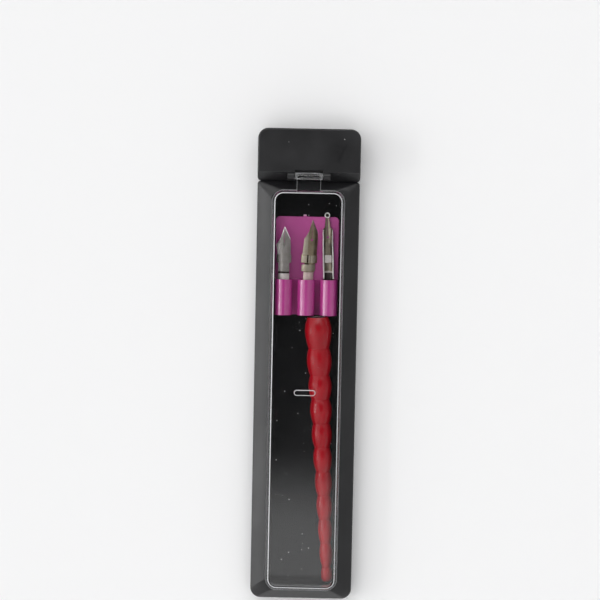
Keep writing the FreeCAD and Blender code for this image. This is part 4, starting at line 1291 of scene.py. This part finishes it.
@dataclass
class PenHolder:
    """The turned red holder, a bulb and a row of beads that shrink towards the tail.

    The grid that is rolled up has rows for the bore and the tail's end beside the outline's rings. The
    bulb, the first bead and the last have lengths of their own, and the other beads an even pitch.
    """

    BORE_ROWS = 3.0
    TAIL_ROWS = 1.0
    END_BEADS = 3.0
    ROUNDING = 1e-4

    bulb: float = 11.8 * MM
    tail: float = 5.0 * MM
    head_rim: float = 9.0 * MM
    head_length: float = 6.2 * MM
    bulb_fall: float = 7.7 * MM
    first_pitch: float = 12.01 * MM
    pitch: float = 10.81 * MM
    beads: int = 11
    tail_rise: float = 4.4 * MM
    tail_length: float = 2.4 * MM
    tail_flat: float = 1.6 * MM
    neck_share: float = 0.82
    tail_neck_share: float = 0.73
    bore: float = 7.2 * MM
    bore_depth: float = 14.0 * MM
    rings: int = 420
    sides: int = 72
    merge: float = 0.001 * MM
    smooth_bend: float = 50.0

    def axis(self, nodes: dict[str, bpy.types.Object]) -> tuple[Vector, Vector]:
        """The middle of the holder's mouth and the way from there to the tail, from the ferrule.

        Args:
            nodes: the frame's node objects by name.

        Returns:
            The point and the unit vector.
        """
        spots = [vert.co.copy() for vert in nodes["ferrule"].data.vertices]
        high, low = max(spot.y for spot in spots), min(spot.y for spot in spots)
        ends = []
        for limit in (high, low):
            near = [spot for spot in spots if abs(spot.y - limit) < MM]
            ends.append(sum(near, Vector()) / len(near))
        return ends[0], (ends[1] - ends[0]).normalized()

    def sizes(self) -> dict[str, float]:
        """The values of the tree's size inputs.

        Returns:
            The values by the inputs' names.
        """
        return {
            "Bulb radius": self.bulb / 2, "Tail radius": self.tail / 2, "Rim radius": self.head_rim / 2,
            "Flat radius": self.tail_flat / 2, "Bore radius": self.bore / 2, "Bore depth": self.bore_depth,
            "Head length": self.head_length, "Bulb fall": self.bulb_fall, "First pitch": self.first_pitch,
            "Pitch": self.pitch, "Tail rise": self.tail_rise, "Tail length": self.tail_length,
            "Neck share": self.neck_share, "Tail neck share": self.tail_neck_share,
        }

    def outline(self, size: dict[str, Sum], row: Sum) -> tuple[Sum, Sum]:
        """The beaded outline from the rim to the tail.

        Args:
            size: the tree's inputs by name.
            row: the number of the grid's row.

        Returns:
            The row's radius and its depth below the rim.
        """
        # Depths of the necks, the last crest and the end along the axis.
        even_beads = size["Beads"] - self.END_BEADS
        first_neck = size["Head length"] + size["Bulb fall"]
        second_neck = first_neck + size["First pitch"]
        last_neck = second_neck + size["Pitch"] * even_beads
        last_crest = last_neck + size["Tail rise"]
        length = last_crest + size["Tail length"]
        depth = length * ((row - self.BORE_ROWS) / (size["Rings"] - 1.0)).held()

        # The bead count passed so far, a half for each fall or rise.
        fall = ((depth - size["Head length"]) / size["Bulb fall"]).held()
        first = ((depth - first_neck) / size["First pitch"]).held()
        beads = ((depth - second_neck) / size["Pitch"]).apply("MAXIMUM", 0.0).apply("MINIMUM", even_beads)
        rise = ((depth - last_neck) / size["Tail rise"]).held()
        turns = fall * 0.5 + first + beads + rise * 0.5
        away = (turns - (turns + 0.5).apply("FLOOR")) * 2.0
        dip = away * away
        along = ((depth - size["Head length"]) / (last_crest - size["Head length"])).held()
        radius = size["Bulb radius"] + (size["Tail radius"] - size["Bulb radius"]) * along
        cut = size["Neck share"] * -1.0 + 1.0 + (size["Neck share"] - size["Tail neck share"]) * along
        radius = radius - radius * dip * cut

        # Round the head towards the rim and the tail towards its flat.
        head = (depth / size["Head length"] * -1.0 + 1.0).held()
        radius = radius - (size["Bulb radius"] - size["Rim radius"]) * head * head
        toe = ((depth - last_crest) / size["Tail length"]).held()
        dome = (toe * toe * -1.0 + 1.0).apply("SQRT") * -1.0 + 1.0
        return radius - (size["Tail radius"] - size["Flat radius"]) * dome, depth

    def closed_outline(self, size: dict[str, Sum], row: Sum) -> tuple[Sum, Sum]:
        """The outline with the blind bore in its first rows and the tail closed by its last.

        Args:
            size: the tree's inputs by name.
            row: the number of the grid's row.

        Returns:
            The row's radius and its depth below the rim.
        """
        radius, depth = self.outline(size, row)
        wide, deep = size["Bore radius"], size["Bore depth"]
        for number, (bore_radius, bore_depth) in enumerate(((0.0, deep), (wide, deep), (wide, 0.0))):
            here = row.apply("COMPARE", float(number), 0.5)
            radius = radius * (here * -1.0 + 1.0) + here * bore_radius
            depth = depth * (here * -1.0 + 1.0) + here * bore_depth
        return radius * row.apply("LESS_THAN", size["Rings"] + self.BORE_ROWS - 0.5), depth

    def tree(self) -> bpy.types.NodeTree:
        """The geometry node tree that turns the beaded outline about the Y axis.

        Returns:
            The tree, with a named input for each size.
        """
        tree = bpy.data.node_groups.new("beaded_turning", "GeometryNodeTree")
        kinds = {"Geometry": "Geometry", **dict.fromkeys(self.sizes(), "Float"),
                 **dict.fromkeys(("Beads", "Rings", "Sides"), "Int"), "Finish": "Material"}
        for name, kind in kinds.items():
            tree.interface.new_socket(name, in_out="INPUT", socket_type=f"NodeSocket{kind}")
        tree.interface.new_socket("Geometry", in_out="OUTPUT", socket_type="NodeSocketGeometry")
        work = Tree(tree)
        given = work.add("NodeGroupInput")
        size = {socket.name: Sum(work, socket) for socket in given.outputs if socket.type in ("VALUE", "INT")}

        # A grid is rolled up: its rows are rings along the holder, its columns go round it.
        rows, columns = size["Rings"] + self.BORE_ROWS + self.TAIL_ROWS, size["Sides"] + 1.0
        grid = work.add("GeometryNodeMeshGrid", {"Vertices X": rows.socket, "Vertices Y": columns.socket})
        index = Sum(work, work.add("GeometryNodeInputIndex").outputs[0])
        row = (index / columns + self.ROUNDING).apply("FLOOR")
        angle = (index - row * columns) / size["Sides"] * math.tau
        radius, depth = self.closed_outline(size, row)
        x, y, z = radius * angle.apply("COSINE"), depth * -1.0, radius * angle.apply("SINE")
        spot = work.add("ShaderNodeCombineXYZ", {"X": x.socket, "Y": y.socket, "Z": z.socket}).outputs[0]
        shape = work.add("GeometryNodeSetPosition", {"Geometry": grid.outputs["Mesh"], "Position": spot})
        feeds = {"Geometry": shape.outputs[0], "Distance": self.merge}
        shape = work.add("GeometryNodeMergeByDistance", feeds)
        shape = work.add("GeometryNodeRealizeInstances", {0: shape.outputs[0]})
        feeds = {"Geometry": shape.outputs[0], "Material": given.outputs["Finish"]}
        shape = work.add("GeometryNodeSetMaterial", feeds)
        work.add("NodeGroupOutput", {0: shape.outputs[0]})
        return tree

    def build(self, nodes: dict[str, bpy.types.Object]) -> bpy.types.Object:
        """Turn the holder and lay it along the ferrule's axis.

        Args:
            nodes: the frame's node objects by name.

        Returns:
            The finished piece.
        """
        holder = new_piece("beaded_holder", bpy.data.meshes.new("beaded_holder"), RED)
        tree = self.tree()
        turning = holder.modifiers.new("beaded_turning", "NODES")
        turning.node_group = tree
        counts = {"Beads": self.beads, "Rings": self.rings, "Sides": self.sides, "Finish": RED.material()}
        values = {**self.sizes(), **counts}
        for item in tree.interface.items_tree:
            value = values.get(item.name)
            if item.in_out == "INPUT" and value is not None:
                turning[item.identifier] = value
        mesh = plain_mesh(holder)
        holder.modifiers.clear()
        mesh.materials.clear()
        mesh.materials.append(RED.material())
        mouth, way = self.axis(nodes)
        turn = Vector((0.0, -1.0, 0.0)).rotation_difference(way).to_matrix().to_4x4()
        turn.translation = mouth
        mesh.transform(turn)
        face_outward(mesh)
        smooth_shade(mesh, self.smooth_bend)
        holder.data = mesh
        return settle(holder, Body.PEN, RED, "pen_holder")


@dataclass
class Studio:
    """The pale floor, the soft light and the camera.

    The heights, reaches, fades and sides of the glows are parts of a direction of length 1.
    """

    reach: float = 6.0
    floor_colour: Colour = (0.93, 0.93, 0.935, 1.0)
    floor_roughness: float = 0.9
    sky: float = 0.55
    ring: float = 0.96
    sky_heights: tuple[float, float] = (0.15, 0.85)
    side_reach: float = 0.6
    side_shares: tuple[float, float] = (1.32, 0.52)
    dark: float = 0.03
    patch_tilt: float = 14.0
    patch_inner: float = 22.4
    patch_outer: float = 25.2
    toe_glow: float = 3.2
    toe_fade: tuple[float, float] = (-0.95, -0.55)
    toe_heights: tuple[float, float] = (0.05, 0.26)
    right_glow: float = 0.45
    right_way: Triple = (0.75, -0.59, 0.30)
    right_fade: tuple[float, float] = (0.82, 0.97)
    key_glow: float = 5.0
    key_fade: tuple[float, float] = (-0.5, -0.2)
    key_sides: tuple[GlowSide, ...] = (("Y", -0.05, 0.13), ("Z", 0.38, 0.38))
    back_glow: float = 2.4
    back_sides: tuple[GlowSide, ...] = (("X", 0.0, 0.85), ("Y", 0.54, 0.32))
    spark_glow: float = 34.0
    spark_fade: tuple[float, float] = (0.9984, 0.9998)
    sparks: tuple[Triple, ...] = ((-0.90, 0.16, 0.42), (-0.90, -0.22, 0.42))
    fill_way: Triple = (-0.80, -0.30, 0.75)
    fill_distance: float = 2.0
    fill_size: float = 0.8
    fill_radiance: float = 0.4
    lens: float = 108.48
    clip: tuple[float, float] = (0.01, 20.0)
    camera_spot: Triple = (-3.27 * MM, 82.94 * MM, 803.84 * MM)
    camera_turn: Triple = (-3.87, 0.047, 1.14)

    def build(self) -> None:
        """Make the floor, the world, the lamp and the camera."""
        self.floor()
        self.world()
        self.lamp()
        self.camera()
        bpy.context.scene.view_settings.view_transform = "Standard"

    def floor(self) -> None:
        """A wide pale sheet just under the box."""
        work = bmesh.new()
        bmesh.ops.create_grid(work, x_segments=8, y_segments=8, size=self.reach)
        mesh = new_mesh(work, "floor")
        material = bpy.data.materials.new("pale_floor")
        material.use_nodes = True
        shader = Tree(material.node_tree).find("BSDF_PRINCIPLED")
        shader.inputs["Base Color"].default_value = self.floor_colour
        shader.inputs["Roughness"].default_value = self.floor_roughness
        mesh.materials.append(material)
        floor = bpy.data.objects.new("floor", mesh)
        bpy.context.scene.collection.objects.link(floor)

    def world(self) -> None:
        """A soft sky, brighter high up and on the left, with a dark patch overhead.

        Soft glows lie low beyond the toe and on the right, tall on the left like a draped window,
        and behind the top, partly over the dark patch. The left also holds two small bright spots.
        """
        world = bpy.data.worlds.new("studio_sky")
        world.use_nodes = True
        bpy.context.scene.world = world
        work = Tree(world.node_tree)
        way = work.add("ShaderNodeTexCoord").outputs["Generated"]
        axes = work.add("ShaderNodeSeparateXYZ", {0: way}).outputs
        height = work.remap(axes["Z"], *self.sky_heights, self.sky, self.ring)
        side = work.remap(axes["X"], -self.side_reach, self.side_reach, *self.side_shares)
        light = work.math("MULTIPLY", height, side)
        toe = work.remap(axes["Y"], *self.toe_fade, self.toe_glow, 0.0, smooth=True)
        low = work.remap(axes["Z"], *self.toe_heights, 1.0, 0.0, smooth=True)
        key = work.remap(axes["X"], *self.key_fade, self.key_glow, 0.0, smooth=True)
        glows = [work.math("MULTIPLY", toe, low), self.window(work, axes, key, self.key_sides),
                 self.spot(work, way, self.right_way, self.right_fade, (0.0, self.right_glow))]
        for spark in self.sparks:
            glows.append(self.spot(work, way, spark, self.spark_fade, (0.0, self.spark_glow)))
        for glow in glows:
            light = work.math("ADD", light, glow)
        tilt = math.radians(self.patch_tilt)
        rim = tuple(math.cos(math.radians(angle)) for angle in (self.patch_outer, self.patch_inner))
        share = self.spot(work, way, (0.0, math.sin(tilt), math.cos(tilt)), rim, (1.0, self.dark))
        back = self.window(work, axes, self.back_glow, self.back_sides)
        ground = work.find("BACKGROUND")
        ground.inputs["Color"].default_value = (1.0, 1.0, 1.0, 1.0)
        work.feed(ground.inputs["Strength"], work.math("MULTIPLY_ADD", light, share, back))

    @staticmethod
    def window(work: Tree, axes: bpy.types.NodeOutputs, glow: object,
               sides: tuple[GlowSide, ...]) -> bpy.types.NodeSocket:
        """A glow that fades out evenly to its sides.

        Args:
            work: the world's tree.
            axes: the parts of the direction along X, Y and Z.
            glow: the glow's full strength.
            sides: for each of two axes, its name, the glow's middle and its reach.

        Returns:
            The strength in a direction.
        """
        for axis, middle, reach in sides:
            away = work.math("ABSOLUTE", work.math("SUBTRACT", axes[axis], middle))
            glow = work.math("MULTIPLY", glow, work.remap(away, 0.0, reach, 1.0, 0.0, smooth=True))
        return glow

    @staticmethod
    def spot(work: Tree, way: bpy.types.NodeSocket, middle: Triple, fade: tuple[float, float],
             levels: tuple[float, float]) -> bpy.types.NodeSocket:
        """A level that changes evenly around a direction.

        Args:
            work: the world's tree.
            way: the direction.
            middle: the direction of the spot's middle.
            fade: how far a direction goes along the middle's at the outer and the inner rim.
            levels: the level outside and the level inside.

        Returns:
            The level in a direction.
        """
        feeds = {0: way, 1: Vector(middle).normalized()}
        along = work.add("ShaderNodeVectorMath", feeds, operation="DOT_PRODUCT").outputs["Value"]
        return work.remap(along, *fade, *levels, smooth=True)

    def lamp(self) -> None:
        """A broad dim lamp on the left that faces the box, whose face is white at a radiance of 1."""
        data = bpy.data.lights.new("fill_left", "AREA")
        data.shape = "RECTANGLE"
        data.size = data.size_y = self.fill_size
        data.energy = self.fill_radiance * math.pi * self.fill_size ** 2
        lamp = bpy.data.objects.new("fill_left", data)
        way = Vector(self.fill_way)
        lamp.location = way.normalized() * self.fill_distance
        lamp.rotation_euler = way.to_track_quat("Z", "Y").to_euler()
        bpy.context.scene.collection.objects.link(lamp)

    def camera(self) -> None:
        """The camera, almost straight above the box."""
        data = bpy.data.cameras.new("camera")
        data.lens = self.lens
        data.clip_start, data.clip_end = self.clip
        camera = bpy.data.objects.new("camera", data)
        camera.location = self.camera_spot
        camera.rotation_euler = Euler([math.radians(angle) for angle in self.camera_turn])
        bpy.context.scene.collection.objects.link(camera)
        bpy.context.scene.camera = camera


@dataclass
class MouldedParts:
    """The tray, the end cap and the rack, with the steel socket of the holder."""

    tray_edge: float = 0.18 * MM
    cap_edge: float = 0.15 * MM
    rack_edge: float = 0.15 * MM
    socket_edge: float = 0.05 * MM
    patch_gap: float = 0.1 * MM
    plate_top: float = 2.9 * MM
    gate_start: float = 66.15

    def pieces(self, lid: Lid) -> list[SoftenedNode]:
        """The pieces with their patches.

        Args:
            lid: the lid, whose sizes give the cavity's.

        Returns:
            The pieces, not built yet.
        """
        inset = lid.cavity_set - self.patch_gap
        # The cavity's faces: polished, and painted darker as the shade in the cavity.
        cavity = Patch(POLISHED_SHADED, (inset - lid.half, lid.toe_y + inset, 0.0),
                       (lid.half - inset, lid.heel_y - inset, lid.foot_z - self.patch_gap), crossed=False)
        # The rack's plate: satin, and painted paler as if lit.
        plate = Patch(PURPLE_SATIN_LIT, high=(FAR, FAR, self.plate_top), crossed=False)
        gate = band(PURPLE_GATE, self.gate_start)
        return [
            SoftenedNode("tray", "black_tray", Body.BASE, BLACK, self.tray_edge, patches=(cavity,)),
            SoftenedNode("end_cap", "black_end_cap", Body.BASE, BLACK, self.cap_edge),
            SoftenedNode("nib_rack", "purple_rack", Body.BASE, PURPLE, self.rack_edge, patches=(plate, gate)),
            SoftenedNode("ferrule", "socket_ferrule", Body.PEN, HOLDER_STEEL, self.socket_edge),
            SoftenedNode("nib_clamp", "nib_clamp_spring", Body.PEN, HOLDER_STEEL, self.socket_edge),
        ]


@dataclass
class Nib:
    """A nib and its ink clip. Its places are in millimetres, in the frame's axes."""

    kind: str
    body: Body
    sheet: Finish
    clip: Finish
    edge: float = 0.04 * MM

    def pieces(self) -> list[SoftenedNode]:
        """The nib's sheet and its ink clip.

        Returns:
            The two pieces, not built yet.
        """
        return [
            SoftenedNode(f"nib_{self.kind}", f"{self.kind}_nib_sheet", self.body, self.sheet, self.edge,
                         patches=self.sheet_patches()),
            SoftenedNode(f"reservoir_{self.kind}", f"{self.kind}_ink_clip", self.body, self.clip, self.edge,
                         patches=self.clip_patches()),
        ]

    def sheet_patches(self) -> tuple[Patch, ...]:
        """The ground parts of the sheet and its parts painted with light and shade, where a later one covers
        an earlier one.
        """
        return ()

    def clip_patches(self) -> tuple[Patch, ...]:
        """The parts of the ink clip with painted shade, some of them tarnished as well."""
        return ()

    def details(self) -> list[ClipFlap | RolledRim]:
        """The small formed parts that lie on the nib."""
        return []


@dataclass
class ObliqueNib(Nib):
    """The left nib, with its shank painted pale as if lit, its left side painted light where it lies in
    shade, and two ground edges at its point.
    """

    kind: str = "oblique"
    body: Body = Body.OBLIQUE
    sheet: Finish = STEEL
    clip: Finish = STEEL
    shank_end: float = 40.75
    # Where the painted shadow of the step ends.
    shade_end: float = 41.6
    # The left side that is painted light ends here, and lies beyond this line.
    painted_light_end: float = 54.0
    painted_light_side: Side = ((-12.2, 41.0), (-12.4, 56.0))
    left_edge: Side = ((-13.73, 53.5), (-10.4, 61.1))
    left_start: float = 53.6
    left_width: float = 0.6 * MM
    right_edge: Side = ((-9.8, 61.1), (-7.4, 56.4))
    right_start: float = 55.0
    right_width: float = 0.55 * MM
    ground_slope: float = 0.22

    def sheet_patches(self) -> tuple[Patch, ...]:
        """The sheet's patches.

        Returns:
            The side painted light, the shank painted pale as if lit, the painted shadow of the step beyond it
            and the ground edges.
        """
        left = side_line(*self.left_edge, self.left_width)
        right = side_line(*self.right_edge, self.right_width)
        return (
            # Painted light on the left side, which lies in shade.
            band(STEEL_PAINTED_LIGHT, far=self.painted_light_end, lines=(side_line(*self.painted_light_side, 0.0),)),
            # The shank, satin and painted pale as if lit.
            band(STEEL_PALE, far=self.shank_end),
            # Painted shadow of the step between the body and the shank.
            band(STEEL_SHADE, self.shank_end, self.shade_end),
            band(STEEL_GROUND, self.left_start, lines=(left,), slope=self.ground_slope),
            band(STEEL_GROUND, self.right_start, lines=(right,), slope=self.ground_slope))


@dataclass
class PointedNib(Nib):
    """The middle nib, with a folded clip, its left side painted pale as if lit, and two ground edges at its
    point.
    """

    kind: str = "pointed"
    body: Body = Body.POINTED
    sheet: Finish = NICKEL
    clip: Finish = NICKEL
    # The left side, painted pale as if lit, between these ends and beyond this line.
    lit_side_start: float = 46.0
    lit_side_end: float = 59.0
    lit_side_line: Side = ((0.0, 46.0), (0.4, 59.0))
    shank_end: float = 41.5
    # The painted shadow under the clip, between these ends and beyond this line.
    shade_start: float = 44.8
    shade_end: float = 45.5
    shade_side: Side = ((0.6, 44.0), (0.6, 46.0))
    ground_start: float = 58.5
    left_edge: Side = ((-1.43, 56.0), (1.8, 64.2))
    left_width: float = 0.4 * MM
    right_edge: Side = ((2.5, 64.2), (4.5, 57.5))
    right_width: float = 0.35 * MM
    ground_slope: float = 0.15
    seam_left: Side = ((0.42, 45.0), (0.6, 49.3))
    seam_right: Side = ((-0.05, 49.3), (-0.27, 45.0))
    left_flap: Rectangle = (-2.55, -0.25, 45.65, 48.85)
    right_flap: Rectangle = (0.4, 3.6, 45.55, 48.85)
    clip_tail: Rectangle = (-2.6, 3.45, 41.9, 44.9)

    def sheet_patches(self) -> tuple[Patch, ...]:
        """The sheet's patches.

        Returns:
            The left side painted pale as if lit, the shank painted pale as if lit, the painted shadow under
            the clip and the ground edges.
        """
        left = side_line(*self.left_edge, self.left_width)
        right = side_line(*self.right_edge, self.right_width)
        return (
            # Painted light on the left side.
            band(NICKEL_PALE, self.lit_side_start, self.lit_side_end, (side_line(*self.lit_side_line, 0.0),)),
            # The shank, satin and painted pale as if lit.
            band(NICKEL_SHANK, far=self.shank_end),
            # Painted shadow under the clip's lower edge.
            band(NICKEL_SHADE, self.shade_start, self.shade_end, (side_line(*self.shade_side, 0.0),)),
            band(NICKEL_PALE, self.ground_start, lines=(left,), slope=self.ground_slope),
            band(NICKEL_PALE, self.ground_start, lines=(right,), slope=self.ground_slope))

    def clip_patches(self) -> tuple[Patch, ...]:
        """The painted shade in the seam between the clip's flaps."""
        sides = (side_line(*self.seam_left, 0.0), side_line(*self.seam_right, 0.0))
        return (band(NICKEL_SHADE, lines=sides),)

    def details(self) -> list[ClipFlap | RolledRim]:
        """The clip's two flaps and its tail round the shank.

        Returns:
            The flaps, not built yet.
        """
        sheet, clip = "nib_pointed", "reservoir_pointed"
        flaps = (("pointed_left_flap", (sheet, clip), NICKEL_FLAP, self.left_flap),
                 ("pointed_right_flap", (sheet, clip), NICKEL_FLAP, self.right_flap),
                 ("pointed_clip_tail", (sheet,), NICKEL_PALE, self.clip_tail))
        return [ClipFlap(name, under, self.body, finish, *(value * MM for value in place))
                for name, under, finish, place in flaps]


@dataclass
class DiscNib(Nib):
    """The right nib, hollow side up, with rolled rims and a ring at its disc."""

    kind: str = "disc"
    body: Body = Body.DISC
    sheet: Finish = STEEL
    # The clip is satin steel painted pale as if lit.
    clip: Finish = STEEL_PALE
    # The shank has painted shade up to the first end here, and a strip painted pale as if lit up to the
    # second.
    shade_end: float = 41.2
    shank_end: float = 42.0
    # The hollow, tarnished and with painted shade, ends here and the disc's centre with painted shade begins;
    # the clip's tongue, tarnished and with painted shade, begins at the next place.
    tarnish_and_shade_end: float = 65.3
    clip_tarnish_and_shade: float = 49.0
    left_rim: tuple[Triple, ...] = ((6.75, 60.2, 4.75), (6.95, 54.0, 4.9), (7.08, 49.0, 5.05),
                                    (7.22, 45.5, 5.08), (7.42, 41.5, 5.22), (7.55, 38.6, 5.25))
    left_radius: float = 0.36 * MM
    right_rim: tuple[Triple, ...] = ((10.9, 60.2, 4.75), (11.05, 54.0, 4.9), (11.35, 49.0, 5.05),
                                     (11.5, 45.5, 5.08), (11.55, 41.5, 5.22), (11.65, 38.6, 5.25))
    right_radius: float = 0.32 * MM
    ring_middle: Triple = (8.52, 66.58, 3.96)
    ring_reach: float = 1.02
    ring_radius: float = 0.27 * MM
    ring_steps: int = 32

    def sheet_patches(self) -> tuple[Patch, ...]:
        """The sheet's patches.

        Returns:
            The hollow, tarnished and with painted shade, the shank with painted shade, the strip beyond it
            painted pale as if lit, and the disc's centre with painted shade.
        """
        return (
            # Tarnish and painted shade in the hollow.
            band(STEEL_TARNISHED_SHADED, self.shank_end, self.tarnish_and_shade_end),
            # Painted shade inside the hollow shank.
            band(STEEL_SHADE, far=self.shade_end),
            # A strip painted pale as if lit, across the hollow.
            band(STEEL_PALE, self.shade_end, self.shank_end),
            # Painted shade in the disc's concave centre.
            band(STEEL_SHADE, self.tarnish_and_shade_end))

    def clip_patches(self) -> tuple[Patch, ...]:
        """The clip's tongue, tarnished and with painted shade where it lies in the hollow."""
        return (band(STEEL_TARNISHED_SHADED, self.clip_tarnish_and_shade),)

    def details(self) -> list[ClipFlap | RolledRim]:
        """The rolled rims and the ring round the disc.

        Returns:
            The rods, not built yet.
        """
        x, y, z = self.ring_middle
        turns = [math.tau * step / self.ring_steps for step in range(self.ring_steps)]
        ring = tuple((x + self.ring_reach * math.cos(turn), y + self.ring_reach * math.sin(turn), z)
                     for turn in turns)
        return [
            RolledRim("disc_left_rim", self.body, STEEL_GROUND, self.left_rim, self.left_radius),
            RolledRim("disc_right_rim", self.body, STEEL_GROUND, self.right_rim, self.right_radius),
            RolledRim("disc_ring", self.body, STEEL_GROUND, ring, self.ring_radius, closed=True),
        ]


def main() -> None:
    """Build the box piece by piece, then the studio around it."""
    logging.basicConfig(level=logging.INFO, format="%(name)s: %(message)s")
    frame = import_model()
    nodes = frame["nodes"]
    SurfaceEffects().build()
    lid = Lid()
    nibs = (ObliqueNib(), PointedNib(), DiscNib())
    pieces = MouldedParts().pieces(lid)
    for nib in nibs:
        pieces += nib.pieces()
    for nib in nibs:
        pieces += nib.details()
    for piece in pieces:
        piece.build(nodes)
    lid.build()
    PenHolder().build(nodes)
    Studio().build()


if __name__ == "__main__":
    main()
